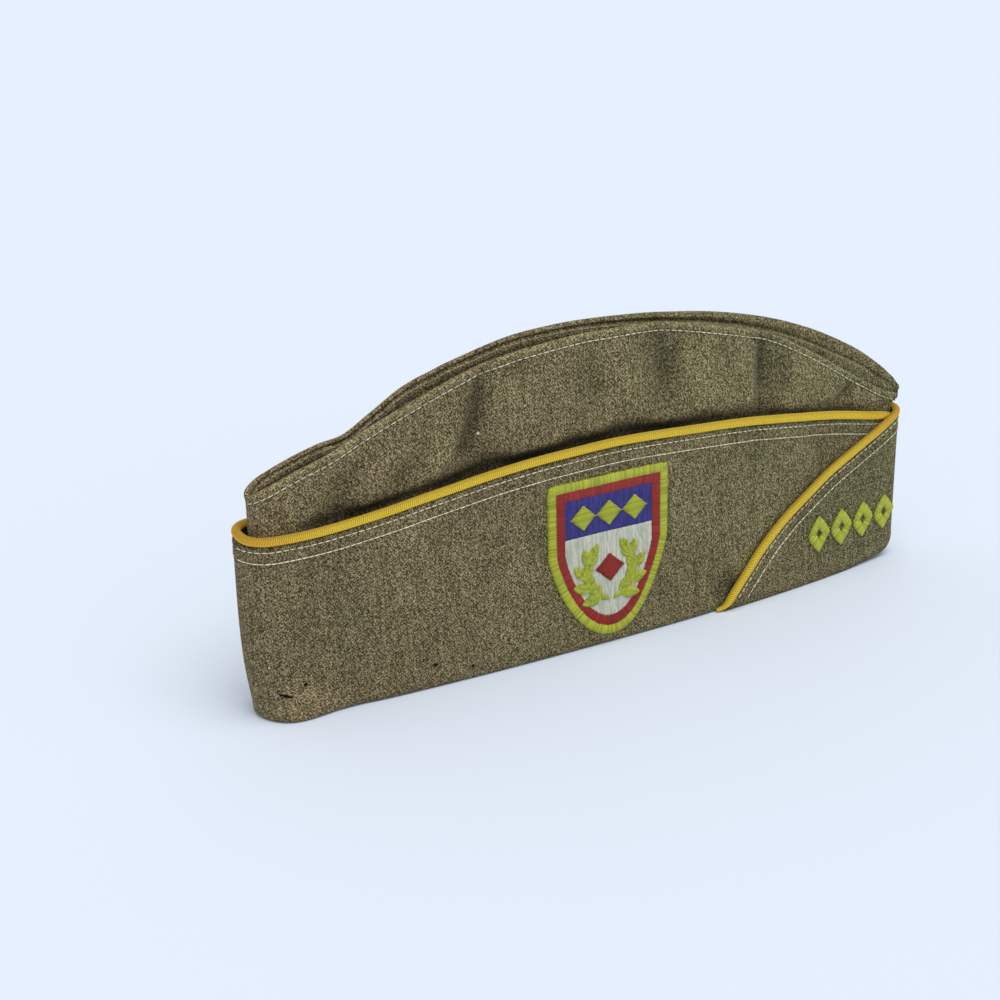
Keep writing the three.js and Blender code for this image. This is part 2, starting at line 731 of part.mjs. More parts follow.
// Half a wreath: a bent stem with pairs of leaves, joined into one solid.
const wreath = { radius: 10.5, stem: 1.5, leafLength: 8.2, leafWidth: 3.4, pairs: 4, from: -82, to: 38 };
function wreathHalf(name, side) {
  const centre = new THREE.Vector2(0, (chiefFoot + shieldLow(0, fieldInset)) / 2 + 1);
  const onArc = (degrees, radius) => {
    const angle = THREE.MathUtils.degToRad(degrees);
    return new THREE.Vector2(side * radius * Math.cos(angle), centre.y + radius * Math.sin(angle));
  };
  const parts = [];
  const stemSteps = 8;
  const stemLine = [];
  for (const edge of [1, -1]) {
    for (let i = 0; i <= stemSteps; i += 1) {
      const t = edge > 0 ? i / stemSteps : 1 - i / stemSteps;
      const degrees = THREE.MathUtils.lerp(wreath.from, wreath.to, t);
      stemLine.push(onArc(degrees, wreath.radius + (edge * wreath.stem) / 2));
    }
  }
  const stemCorners = [];
  for (const height of [0, badge.pile * 0.6]) {
    for (const p of stemLine)
      stemCorners.push(onCloth(badgeFoot.x + p.x, badgeFoot.y + p.y, onField + height, false));
  }
  const ring = stemLine.length;
  const stemFaces = [];
  for (let i = 0; i < ring; i += 1) stemFaces.push([i, (i + 1) % ring, ring + ((i + 1) % ring), ring + i]);
  for (let i = 0; i < stemSteps; i += 1) {
    const [a, b, c, d] = [i, i + 1, ring - 2 - i, ring - 1 - i];
    stemFaces.push([d, c, b, a]);
    stemFaces.push([ring + a, ring + b, ring + c, ring + d]);
  }
  parts.push(closedMesh(name, stemCorners, stemFaces, thread.leaf));
  const leafShape = [
    [0, 0],
    [0.3, 0.42],
    [0.62, 0.5],
    [1, 0],
    [0.62, -0.5],
    [0.3, -0.42],
  ];
  const addLeaf = (root, degrees, share) => {
    const angle = THREE.MathUtils.degToRad(degrees);
    const along = new THREE.Vector2(side * Math.cos(angle), Math.sin(angle));
    const across = new THREE.Vector2(-along.y, along.x);
    const put = ([a, b]) => {
      const point = root.clone().addScaledVector(along, a * wreath.leafLength * share);
      return point.addScaledVector(across, b * wreath.leafWidth * share);
    };
    const { corners, faces } = stitchedPad(leafShape.map(put), put([0.5, 0]), badgeFoot, onField);
    parts.push(closedMesh(name, corners, faces, thread.leaf));
  };
  for (let i = 0; i < wreath.pairs; i += 1) {
    const at = THREE.MathUtils.lerp(wreath.from + 16, wreath.to - 14, i / (wreath.pairs - 1));
    const root = onArc(at, wreath.radius);
    const size = 1 - 0.08 * i;
    addLeaf(root, at + 55, size);
    addLeaf(root, at + 128, size * 0.82);
  }
  addLeaf(onArc(wreath.to - 2, wreath.radius), wreath.to + 88, 0.8);
  const joined = parts.map(toSolid).reduce((sum, part) => sum.add(part));
  const { vertProperties, triVerts } = joined.getMesh();
  const geometry = new THREE.BufferGeometry();
  geometry.setAttribute("position", new THREE.BufferAttribute(new Float32Array(vertProperties), 3));
  geometry.setIndex(new THREE.BufferAttribute(triVerts, 1));
  const mesh = new THREE.Mesh(geometry, thread.leaf);
  mesh.name = name;
  return mesh;
}

function badgeLozenge() {
  const middle = new THREE.Vector2(0, (chiefFoot + shieldLow(0, fieldInset)) / 2 + 2.5);
  const outline = lozenge(8, 11).map((p) => p.add(middle));
  const { corners, faces } = stitchedPad(outline, middle, badgeFoot, onField);
  return closedMesh("badge_lozenge", corners, faces, thread.red);
}

// The row of open lozenges on the lap.
function figureRow() {
  return Array.from({ length: figures.count }, (unused, i) => {
    const centre = new THREE.Vector2(figures.first + i * figures.pitch, figures.middle);
    const outline = lozenge(figures.width, figures.height);
    return stitchedLoop("figure_" + (i + 1), outline, figures.stroke, lemonThread, centre, true);
  });
}

const garrisonCap = new THREE.Group();
garrisonCap.add(
  crownPanel("crown_right", RIGHT),
  crownPanel("crown_left", LEFT),
  crownPleat(),
  curtainRight(),
  curtainLeft(),
  pipingRight(),
  pipingLeft(),
  ...badgeGrounds(),
  ...chiefStuds(),
  wreathHalf("badge_sprig_front", 1),
  wreathHalf("badge_sprig_back", -1),
  badgeLozenge(),
  ...figureRow(),
);

// The origin is on the bottom edge's plane, in the middle of all that stands on it.
const reach = new THREE.Box3().setFromObject(garrisonCap);
const middle = reach.getCenter(new THREE.Vector3());
garrisonCap.position.set(-middle.x, -middle.y, -reach.min.z);

export default garrisonCap;
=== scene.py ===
# A garrison cap of olive-brown wool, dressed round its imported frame.
# Measures are in millimetres, along the cap in x, across it in y and up in z, and become metres
# when a mesh is made.
import math
import bpy
import numpy as np
from mathutils import Matrix, Vector


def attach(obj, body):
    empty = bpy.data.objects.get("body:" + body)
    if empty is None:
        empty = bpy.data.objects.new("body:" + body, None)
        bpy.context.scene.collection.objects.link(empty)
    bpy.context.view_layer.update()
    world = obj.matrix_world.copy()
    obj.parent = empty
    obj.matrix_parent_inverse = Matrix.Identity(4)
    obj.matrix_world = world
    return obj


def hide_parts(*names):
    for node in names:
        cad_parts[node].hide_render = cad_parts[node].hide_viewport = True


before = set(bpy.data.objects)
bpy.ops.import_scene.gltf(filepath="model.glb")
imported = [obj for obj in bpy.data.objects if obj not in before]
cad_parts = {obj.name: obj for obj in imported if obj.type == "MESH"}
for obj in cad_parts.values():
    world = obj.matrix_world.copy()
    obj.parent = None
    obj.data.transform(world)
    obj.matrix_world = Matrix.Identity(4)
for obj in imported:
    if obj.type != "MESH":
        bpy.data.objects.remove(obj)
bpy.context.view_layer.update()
print("frame loaded with", len(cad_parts), "nodes")

view = {
    "lens": 72,
    "sensor": 36,
    "near": 0.01,
    "turn": -28.789,
    "rise": 22.344,
    "roll": 0.948,
    "away": 0.72,
    "target": (-0.04007, 0.00095, 0.05971),
}


def makeCamera():
    turn, rise, roll = (math.radians(view[k]) for k in ("turn", "rise", "roll"))
    level = math.cos(rise)
    back = Vector((math.sin(turn) * level, -math.cos(turn) * level, math.sin(rise)))
    side = Vector((math.cos(turn), math.sin(turn), 0))
    up = back.cross(side)
    across = math.cos(roll) * side - math.sin(roll) * up
    top = math.sin(roll) * side + math.cos(roll) * up
    lens = bpy.data.cameras.new("camera")
    lens.lens = view["lens"]
    lens.sensor_width = view["sensor"]
    lens.clip_start = view["near"]
    camera = bpy.data.objects.new("camera", lens)
    bpy.context.scene.collection.objects.link(camera)
    placed = Matrix((across, top, back)).transposed().to_4x4()
    placed.translation = Vector(view["target"]) + back * view["away"]
    camera.matrix_world = placed
    bpy.context.scene.camera = camera


makeCamera()
print("camera made")

right, left = -1, 1


# The lines of a table as dictionaries, with a name for each of a line's values.
def table(names, *lines):
    return [dict(zip(names.split(), line)) for line in lines]


rowShift = np.array([-0.528, 0.953, 0.0])  # from the middle of the cap to the frame's origin

cap = {
    "length": 283.0,
    "width": 32.0,
    "crownHeight": 120.4,
    "curtainHeight": 78.0,
    "ridgeSpacing": 11.0,
    "pleatDepth": 20.0,
}
cloth = {"crown": 1.1, "curtain": 1.5, "pleat": 1.1, "gap": 0.3}
ends = {
    "backRound": 9.0,
    "frontRound": 3.5,
    "tipHalf": 1.1,
    "backTuck": 4.2,
    "tuckPower": 4,
    "crownInset": 3.2,
    "overhang": 2.9,  # of the crown's tip past the front crease
    "overhangRight": 0.85,  # of that on the right panel
    "overhangLow": 0.35,  # of it reached just above the curtain's edge, and the rest above the cord
    "overhangClear": 2.2,
    "overhangRise": 1.4,
    "seam": 0.08,
}
plan = {
    "widest": 0.4,
    "backShare": 0.68,
    "ridgeBackShare": 0.8,
    "frontPower": 2.6,
    "topShare": 0.9,
    "crownPower": 1.5,
    "ridgeTipShare": 0.8,
    "backPart": 6 / 44,  # of the way along a side that the back end takes
    "frontPart": 4 / 44,
}
curtainTop = {
    "along": [0, 0.07, 0.13, 0.25, 0.37, 0.5, 0.62, 0.75, 0.86, 0.94, 1],
    "right": [0.85, 0.845, 0.86, 0.92, 0.966, 0.982, 0.962, 0.913, 0.848, 0.782, 0.735],
    "left": [0.85, 0.845, 0.86, 0.92, 0.975, 1, 0.98, 0.925, 0.855, 0.81, 0.79],
}
ridges = {
    "along": [0, 0.03, 0.07, 0.12, 0.155, 0.19, 0.24, 0.32, 0.4]
    + [0.49, 0.59, 0.69, 0.77, 0.85, 0.92, 0.96, 0.985, 1],
    "right": [0.655, 0.695, 0.73, 0.768, 0.803, 0.838, 0.882, 0.942, 0.972]
    + [0.983, 0.972, 0.92, 0.862, 0.76, 0.655, 0.597, 0.567, 0.552],
    "left": [0.662, 0.704, 0.741, 0.775, 0.789, 0.834, 0.9, 0.956, 0.991]
    + [0.997, 0.982, 0.949, 0.904, 0.836, 0.749, 0.678, 0.619, 0.55],
}
lapEdge = {
    "forward": [0.03, 0.066, 0.217, 0.327, 0.452, 0.58, 0.714, 0.854, 1],
    "up": [0, 0.075, 0.335, 0.482, 0.6, 0.71, 0.805, 0.895, 1],
}
lap = {"reach": 95.0, "foot": 1.5, "underlapEnd": 9.0, "lift": 1.8, "liftedBy": 0.85}

# Soft hollows of the crown panels: places and sizes are shares of the length and height.
dents = table(
    "side along up long tall depth",
    (right, 0.32, 0.8, 0.035, 0.2, 0.9),
    (right, 0.59, 0.88, 0.04, 0.14, 0.675),
    (right, 0.755, 0.8, 0.03, 0.2, 0.975),
    (right, 0.9, 0.86, 0.025, 0.12, 0.6),
    (right, 0.17, 0.76, 0.045, 0.14, 0.6),
    (left, 0.3, 0.8, 0.05, 0.18, 0.75),
    (left, 0.7, 0.82, 0.05, 0.18, 0.675),
)
# Folds in the crown's cloth: x and z of the middle, half the width and height, how far the fold
# leans from upright in degrees, and how deep it lies. A negative depth is a ridge.
crownFolds = table(
    "side x z wide tall lean depth",
    (right, -52, 99, 4.2, 12, 17, 2.2),
    (right, -58, 86, 4.6, 8, 34, 1.4),
    (right, -42, 97, 5, 13, 12, -0.7),
    (right, -62, 90, 5, 13, 24, -0.9),
    (right, -34, 111, 4, 4, 0, 0.6),
    (right, -5, 101, 5, 12, -3, 1.2),
    (right, 8, 102, 6, 10, -6, -0.5),
    (right, 26, 101, 5, 13, -5, 1.7),
    (right, 32, 103, 2.4, 7, -14, 0.6),
    (right, 45, 95, 8, 14, -6, -0.9),
    (right, 63, 93, 3.6, 15, -4, -1.4),
    (right, 71, 93, 3.2, 14, 3, 2.0),
    (right, 80, 91, 6, 12, -6, 1.2),
    (right, 115, 74.0, 2.4, 9, 58, 1.7),
    (right, 98, 86, 8, 10, -10, -0.8),
    (right, -104, 79, 4.5, 10, 42, 1.3),
    (right, -91, 82, 4.5, 9, 38, -1.0),
    (right, -79, 82, 3.5, 9, 42, 1.3),
    (right, -68, 81, 3.5, 7, 40, -0.8),
    (left, -60, 95, 4, 14, -14, 1.8),
    (left, -20, 100, 5, 12, 8, 1.1),
    (left, 8, 98, 6, 12, 4, -0.7),
    (left, 34, 98, 4, 14, 10, 1.7),
    (left, 88, 88, 4, 12, 16, 1.4),
)

halfLength = cap["length"] / 2
wallStep = cloth["curtain"] / 2 + cloth["gap"] + cloth["crown"] / 2
curtainHalf = (cap["width"] - cloth["curtain"]) / 2
curtainEnd = halfLength - cloth["curtain"] / 2
halfCurtain, halfCrown = cloth["curtain"] / 2, cloth["crown"] / 2


def ease(value, low, high):
    t = np.clip((value - low) / (high - low), 0, 1)
    return t * t * (3 - 2 * t)


def blend(a, b, t):
    return a + (b - a) * t


# 1 at the middle, and fading away on both sides of it.
def bell(value, middle, wide):
    return np.exp(-(((value - middle) / wide) ** 2))


# How far along a line each of its points is.
def distances(line):
    return np.concatenate([[0], np.cumsum(np.linalg.norm(np.diff(line, axis=0), axis=1))])


# A smooth line through one column of a table.
def follow(table, key, column):
    keys, values = np.array(table[key], float), np.array(table[column], float)
    slopes = np.gradient(values, keys)
    slopes[1:-1] = (values[2:] - values[:-2]) / (keys[2:] - keys[:-2])

    def at(share):
        share = np.clip(share, 0, 1)
        i = np.clip(np.searchsorted(keys, share) - 1, 0, len(keys) - 2)
        span = keys[i + 1] - keys[i]
        t = (share - keys[i]) / span
        bend = (t - 2 * t**2 + t**3) * slopes[i] + (t**3 - t**2) * slopes[i + 1]
        return blend(values[i], values[i + 1], 3 * t**2 - 2 * t**3) + bend * span

    return at


curtainShare = {right: follow(curtainTop, "along", "right"), left: follow(curtainTop, "along", "left")}
ridgeShare = {right: follow(ridges, "along", "right"), left: follow(ridges, "along", "left")}
lapShare = follow(lapEdge, "forward", "up")


# Half the outline of a wall seen from above, from the back end to the front crease.
class Rail:
    def __init__(self, back, front, half, backHalf, tip, backRound, frontRound):
        self.back, self.front, self.half = back, front, half
        self.backHalf, self.tip = backHalf, tip
        self.backRound, self.frontRound = backRound, frontRound

    def x(self, s):
        b, f = plan["backPart"], plan["frontPart"]
        turnBack = np.clip(s / b, 0, 1) * math.pi / 2
        turnFront = np.clip((1 - s) / f, 0, 1) * math.pi / 2
        fromBack = self.back + self.backRound * (1 - np.cos(turnBack))
        toFront = self.front - self.frontRound * (1 - np.cos(turnFront))
        start, stop = self.back + self.backRound, self.front - self.frontRound
        middle = blend(start, stop, (s - b) / (1 - b - f))
        return np.where(s < b, fromBack, np.where(s > 1 - f, toFront, middle))

    def rounded(self, distance, radius):
        return np.sqrt(np.maximum(1 - (1 - np.clip(distance, 0, radius) / radius) ** 2, 0))

    def y(self, x):
        widest = blend(self.back, self.front, plan["widest"])
        behind = np.clip((widest - x) / (widest - self.back), 0, 1)
        ahead = np.clip((x - widest) / (self.front - widest), 0, 1)
        full = np.where(
            x < widest,
            blend(self.half, self.backHalf, behind**2),
            blend(self.half, self.tip, ahead ** plan["frontPower"]),
        )
        atBack = self.rounded(x - self.back, self.backRound)
        return full * atBack * self.rounded(self.front - x, self.frontRound)


curtainTip = ends["tipHalf"] + wallStep
curtainFront = ends["frontRound"] + wallStep
backShare, topShare = plan["backShare"], plan["topShare"]
ridgeHalf = cap["ridgeSpacing"] / 2
crownRound = ends["backRound"] - wallStep
curtainLow = Rail(
    -curtainEnd + ends["backTuck"], curtainEnd, curtainHalf, curtainHalf * backShare,
    curtainTip, ends["backRound"], curtainFront,
)
curtainHigh = Rail(
    -curtainEnd, curtainEnd, curtainHalf * topShare, curtainHalf * backShare * topShare,
    curtainTip, ends["backRound"], curtainFront,
)
crownLow = Rail(
    -curtainEnd + ends["backTuck"] + wallStep, curtainEnd - wallStep, curtainHalf - wallStep,
    curtainHalf * backShare - wallStep, ends["tipHalf"], crownRound, ends["frontRound"],
)
crownHigh = Rail(
    -curtainEnd + wallStep + ends["crownInset"], curtainEnd - wallStep, ridgeHalf,
    ridgeHalf * plan["ridgeBackShare"], ends["tipHalf"] * plan["ridgeTipShare"],
    crownRound, ends["frontRound"],
)


def shareAlong(x):
    return (x + halfLength) / cap["length"]


def curtainHeight(x, side):
    return cap["curtainHeight"] * curtainShare[side](shareAlong(x))


def ridgeHeight(s, side):
    return cap["crownHeight"] * ridgeShare[side](shareAlong(crownHigh.x(s)))


# Rises and hollows that all the layers low on the cap share: place, size and height.
swells = table(
    "side x z wide tall rise",
    (right, 64, 58, 4, 16, -0.8),
    (right, 85, 56, 6, 16, 0.8),
    (right, -125, 0, 9, 11, 2.2),
    (right, -104, 0, 7, 9, -0.5),
    (right, -138, 0, 5, 8, 0.6),
    (right, 46, 9, 3, 6, -1.1),
    (left, -110, 4, 12, 14, 0.8),
)


softWaves = {"long": 0.26, "short": 0.16, "crossed": 0.12, "turn": 2.4, "foot": 14}


# How far a place is from both ends of the cap: 0 at the ends, rising to 1 over the spans given.
def clearOfEnds(x, backSpan, frontSpan):
    back = ease(x, -halfLength + backSpan[0], -halfLength + backSpan[1])
    return back * ease(-x, -halfLength + frontSpan[0], -halfLength + frontSpan[1])


# Long soft waves that all the cloth low on the cap shares, so its layers never cross.
def clothWave(x, z, side):
    turned = softWaves["turn"] * side
    waves = softWaves["long"] * np.sin(x / 19 + z / 33 + turned)
    waves = waves + softWaves["short"] * np.sin(x / 8.5 - z / 21 + turned * 2)
    crossed = np.sin(x / 5.1 + z / 9 + turned * 3) * np.sin(z / 14 + x / 27)
    waves = waves + softWaves["crossed"] * crossed
    waves = waves * clearOfEnds(x, (4, 24), (8, 26)) * ease(z, 0, softWaves["foot"])
    for swell in swells:
        if swell["side"] == side:
            far = ((x - swell["x"]) / swell["wide"]) ** 2 + ((z - swell["z"]) / swell["tall"]) ** 2
            waves = waves + swell["rise"] * np.exp(-far)
    return waves


# The crown draws in where it comes out from behind the cord, in uneven puckers.
tuck = {
    "at": [-141, -124, -114, -102, -88, -76, -58, -20, 20, 44, 62, 90, 116, 128, 141],
    "depth": [0, 0, 3.4, 4.2, 2.8, 2.6, 3.8, 4.3, 4.3, 3.2, 2.0, 1.8, 1.6, 0.3, 0],
    "above": 4.6,
    "below": 26.0,
    "least": 3.0,
    "pucker": 2.5,
    "tip": 1.0,
    "tipAlong": (0.93, 0.99),
    "tipHeight": 63.4,
    "tipTall": 2.4,
}


def tuckDepth(x, z, along, side):
    top = curtainHeight(np.clip(x, -halfLength, halfLength), side)
    puckers = np.sin(x / 4.7 + side) * 0.6 + np.sin(x / 9.1 + 1.3) * 0.8 + np.sin(x / 2.9) * 0.25
    rise = np.maximum(tuck["above"] + tuck["pucker"] * puckers, tuck["least"])
    share = ease(z, top - tuck["below"], top - 3) * (1 - ease(z, top + 0.5, top + 2.5 + rise))
    tip = tuck["tip"] * ease(along, *tuck["tipAlong"]) * bell(z, tuck["tipHeight"], tuck["tipTall"])
    return np.interp(x, tuck["at"], tuck["depth"]) * share + tip


crumple = {"depth": 0.22, "above": (55, 80), "wavesFade": (40, 70)}


# How far the crown's cloth stands out of its plain form.
def crownRelief(x, z, along, up, side):
    relief = clothWave(x, z, side) * (1 - ease(z, *crumple["wavesFade"])) - tuckDepth(x, z, along, side)
    for dent in dents:
        if dent["side"] == side:
            far = ((along - dent["along"]) / dent["long"]) ** 2 + ((up - dent["up"]) / dent["tall"]) ** 2
            relief = relief - dent["depth"] * np.exp(-far)
    for fold in crownFolds:
        if fold["side"] == side:
            lean = math.radians(fold["lean"])
            dx, dz = x - fold["x"], z - fold["z"]
            across = (dx * math.cos(lean) - dz * math.sin(lean)) / fold["wide"]
            down = (dx * math.sin(lean) + dz * math.cos(lean)) / fold["tall"]
            relief = relief - fold["depth"] * np.exp(-(across**2) - down**2)
    small = crumple["depth"] * np.sin(x / 6.3 - z / 11 + side) * np.sin(z / 8.5 + x / 17)
    return relief + small * ease(z, *crumple["above"]) * clearOfEnds(x, (6, 26), (4, 20))


slopeStep = 0.25 / 44  # share of a side over which a wall's direction is taken


# The line that place draws seen from above, lifted outwards.
def lifted(place, s, side, lift):
    x, y = place(s)
    x0, y0 = place(np.maximum(s - slopeStep, 0))
    x1, y1 = place(np.minimum(s + slopeStep, 1))
    size = np.hypot(x1 - x0, y1 - y0) + 1e-12
    dx, dy = (x1 - x0) / size, (y1 - y0) / size
    atEnd = (s <= 0) | (s >= 1)
    dx = np.where(atEnd, 0, dx)
    dy = np.where(s <= 0, side, np.where(s >= 1, -side, dy))
    return x - dy * side * lift, y + dx * side * lift


# The bottom corner at the front crease is rounded upwards on every layer alike.
corner = {"from": 108, "soft": 132, "low": 1.8, "sharp": 130, "end": 142, "high": 5.6, "reach": 26}


def cornerRise(x, z):
    rise = corner["low"] * ease(x, corner["from"], corner["soft"])
    rise = rise + corner["high"] * ease(x, corner["sharp"], corner["end"]) ** 2
    return z + rise * np.clip(1 - z / corner["reach"], 0, 1) ** 2


def curtainPoint(s, z, side, lift, wave=True):
    s, z, lift = np.broadcast_arrays(*(np.asarray(v, float) for v in (s, z, lift)))

    def place(t):
        share = np.clip(z / curtainHeight(curtainHigh.x(t), right), 0, 1)
        lean = 1 - (1 - share) ** ends["tuckPower"]
        low, high = curtainLow.x(t), curtainHigh.x(t)
        return blend(low, high, lean), side * blend(curtainLow.y(low), curtainHigh.y(high), share)

    if wave:
        lift = lift + clothWave(place(s)[0], z, side)
    x, y = lifted(place, s, side, lift)
    return np.stack([x, y, cornerRise(x, z)], -1)


def crownPoint(s, z, side, lift):
    s, z, lift = np.broadcast_arrays(*(np.asarray(v, float) for v in (s, z, lift)))
    up = z / ridgeHeight(s, side)

    def place(t):
        low, high = crownLow.x(t), crownHigh.x(t)
        share = np.clip(up, 0, 1) ** plan["crownPower"]
        return blend(low, high, up), side * blend(crownLow.y(low), crownHigh.y(high), share)

    x, y = place(s)
    relief = crownRelief(x, z, shareAlong(x), up, side)
    x, y = lifted(place, s, side, lift + relief)
    edge = curtainHeight(halfLength, left)
    clear, low = edge + ends["overhangClear"], ends["overhangLow"]
    forward = ease(s, 1 - 2 * plan["frontPart"], 1)
    reach = ends["overhang"] * (1 if side == left else ends["overhangRight"])
    out = low * ease(z, edge - 1, edge + 0.5) + (1 - low) * ease(z, clear, clear + ends["overhangRise"])
    x = x + reach * forward * out
    return np.stack([x, y, cornerRise(x, z)], -1)


stations = np.linspace(0, 1, 4001)


def stationAt(x):
    return np.interp(x, curtainHigh.x(stations), stations)


lapEnd = stationAt(halfLength - lap["reach"] + lap["foot"])
lapOn = stationAt(halfLength - lap["underlapEnd"])


# The left curtain is followed by turn, from 0 at the back to 1 at the crease and on along the
# right side, where it lies on the right curtain.
def lapPoint(turn, z, lift, wave=True):
    turn, z, lift = np.broadcast_arrays(*(np.asarray(v, float) for v in (turn, z, lift)))
    near = curtainPoint(np.minimum(turn, 1), z, left, lift, wave)
    s = np.clip(2 - turn, 0, 1)
    onto = ease(1 - s, 0, (1 - lapOn) * lap["liftedBy"]) * lap["lift"]
    far = curtainPoint(s, z, right, lift + onto, wave)
    return np.where((turn <= 1)[..., None], near, far)


def lapTop(turn):
    s = np.clip(2 - turn, 0, 1)
    forward = (curtainHigh.x(s) - (halfLength - lap["reach"])) / lap["reach"]
    slanting = curtainHeight(halfLength, left) * lapShare(forward)
    return np.where(turn <= 1, curtainHeight(curtainHigh.x(np.minimum(turn, 1)), left), slanting)


flatEdge = {"points": 1600, "level": 50.0, "soften": 12}


# Edges are followed on the cloth laid flat: distance along it, and height.
class FlatEdge:
    def __init__(self, pointAt, topAt, last):
        self.turns = np.linspace(0, last, flatEdge["points"])
        level = pointAt(self.turns, np.full(flatEdge["points"], flatEdge["level"]), 0.0, False)
        self.far = distances(level)
        self.high = topAt(self.turns)
        near = flatEdge["soften"]
        slope = np.pad(np.gradient(self.high, self.far), near, mode="edge")
        self.slope = np.convolve(slope, np.ones(2 * near + 1) / (2 * near + 1), mode="valid")

    # The line at a distance from the edge, upwards if it is positive.
    def offset(self, distance):
        size = np.sqrt(1 + self.slope**2)
        far = self.far - distance * self.slope / size
        return far, self.high + distance / size

    def turnAt(self, far):
        return np.interp(far, self.far, self.turns)


rightLast = float(lapOn)
leftLast = float(2 - lapEnd)


def rightPoint(s, z, lift, wave=True):
    return curtainPoint(s, z, right, lift, wave)


rightEdge = FlatEdge(rightPoint, lambda s: curtainHeight(curtainHigh.x(s), right), rightLast)
leftEdge = FlatEdge(lapPoint, lapTop, leftLast)


# Mesh making: points in millimetres in the cap's own place.
def newObject(name, points, faces, fields=None, uvs=None):
    mesh = bpy.data.meshes.new(name)
    mesh.from_pydata((np.asarray(points) + rowShift) * 0.001, [], faces)
    for label, values in (fields or {}).items():
        values = np.asarray(values, np.float32)
        kind, slotName = ("FLOAT_VECTOR", "vector") if values.ndim == 2 else ("FLOAT", "value")
        attribute = mesh.attributes.new(label, kind, "POINT")
        attribute.data.foreach_set(slotName, values.ravel())
    if uvs is not None:
        layer = mesh.uv_layers.new(name="clothMap")
        layer.uv.foreach_set("vector", np.asarray(uvs, np.float32).ravel())
    mesh.polygons.foreach_set("use_smooth", np.ones(len(mesh.polygons), bool))
    mesh.update()
    obj = bpy.data.objects.new(name, mesh)
    bpy.context.scene.collection.objects.link(obj)
    return obj


# The second entry limits the painted shade stored on each point.
shell = {"measuredRow": 8, "paintedShadeLimits": (-0.35, 1.15)}


# A closed wall of cloth from a grid of points: a row of sections, each a closed loop.
# crease is the painted shade: how sunken each point lies, and so how much darker its colour is painted;
# where it is below 0 the colour is painted lighter.
def clothShell(name, grid, crease):
    count, ring = grid.shape[:2]
    points = grid.reshape(-1, 3)
    along = distances(grid[:, shell["measuredRow"]])
    closed = np.concatenate([grid, grid[:, :1]], 1)
    around = np.cumsum(np.linalg.norm(np.diff(closed, axis=1), axis=2), axis=1)
    around = np.concatenate([np.zeros((count, 1)), around], 1)
    i, j = np.meshgrid(np.arange(count - 1), np.arange(ring), indexing="ij")
    i, j = i.ravel(), j.ravel()
    k = (j + 1) % ring
    quads = np.stack([i * ring + j, (i + 1) * ring + j, (i + 1) * ring + k, i * ring + k], 1)
    corners = [(i, j), (i + 1, j), (i + 1, j + 1), (i, j + 1)]
    uv = np.stack([np.stack([along[a], around[a, b]], 1) for a, b in corners], 1)
    a, b, c, d = (points[quads[:, n]] for n in range(4))
    volume = (np.cross(b, c) * a).sum() + (np.cross(c, d) * a).sum()
    if volume < 0:
        quads, uv = quads[:, ::-1], uv[:, ::-1]
    faces = quads.tolist()
    uvs = [uv.reshape(-1, 2)]
    lids = [list(range(ring)), list(range((count - 1) * ring, count * ring))]
    lids[1 if volume > 0 else 0].reverse()
    for end, lid in zip((0, count - 1), lids):
        faces.append(lid)
        order = np.array(lid) - end * ring
        uvs.append(np.stack([np.full(ring, along[end]), around[end, order]], 1))
    crease = np.clip(np.broadcast_to(crease, grid.shape[:2]), *shell["paintedShadeLimits"]).ravel()
    obj = newObject(name, points, faces, {"crease": crease}, np.concatenate(uvs))
    obj.data.materials.append(materials["wool"])
    return obj


# Nodes, for materials and for the trees that sew and wrap.
def addNode(tree, kind, inputs=None, **settings):
    node = tree.nodes.new(kind)
    for key, value in settings.items():
        setattr(node, key, value)
    for key, value in (inputs or {}).items():
        if isinstance(value, bpy.types.NodeSocket):
            tree.links.new(value, node.inputs[key])
        else:
            node.inputs[key].default_value = value
    return node


# A node's one output that is wanted, its first unless another is named.
def made(tree, kind, inputs=None, output=0, **settings):
    return addNode(tree, kind, inputs, **settings).outputs[output]


def maths(tree, operation, *values):
    return made(tree, "ShaderNodeMath", dict(enumerate(values)), operation=operation)


def mixColours(tree, share, first, second, mode="MIX"):
    node = addNode(tree, "ShaderNodeMix", data_type="RGBA", blend_type=mode)
    for key, value in ((0, share), (6, first), (7, second)):
        if isinstance(value, bpy.types.NodeSocket):
            tree.links.new(value, node.inputs[key])
        else:
            node.inputs[key].default_value = value
    return node.outputs[2]


def startMaterial(name):
    material = bpy.data.materials.new(name)
    material.use_nodes = True
    material.node_tree.nodes.clear()
    return material, material.node_tree, made(material.node_tree, "ShaderNodeTexCoord", output="Object")


def scaleColour(tree, colour, share):
    return made(tree, "ShaderNodeVectorMath", {0: colour, "Scale": share}, operation="SCALE")


# A value carried over from one range to another, and held at its ends.
def mapped(tree, value, low, high, newLow, newHigh):
    return made(tree, "ShaderNodeMapRange", {0: value, 1: low, 2: high, 3: newLow, 4: newHigh})


def noise(tree, place, scale, detail=2.0, roughness=0.5):
    inputs = {"Vector": place, "Scale": scale, "Detail": detail, "Roughness": roughness}
    return made(tree, "ShaderNodeTexNoise", inputs)


finishInputs = {
    "Roughness": "roughness",
    "Specular IOR Level": "gloss",
    "Sheen Weight": "sheen",
    "Sheen Roughness": "sheenRoughness",
    "Sheen Tint": "sheenTint",
}


def finishMaterial(tree, colour, height, look):
    inputs = {"Strength": look["bump"], "Distance": look["relief"], "Height": height}
    inputs = {"Base Color": colour, "Normal": made(tree, "ShaderNodeBump", inputs)}
    for label, key in finishInputs.items():
        inputs[label] = look[key]
    shader = made(tree, "ShaderNodeBsdfPrincipled", inputs)
    addNode(tree, "ShaderNodeOutputMaterial", {"Surface": shader})


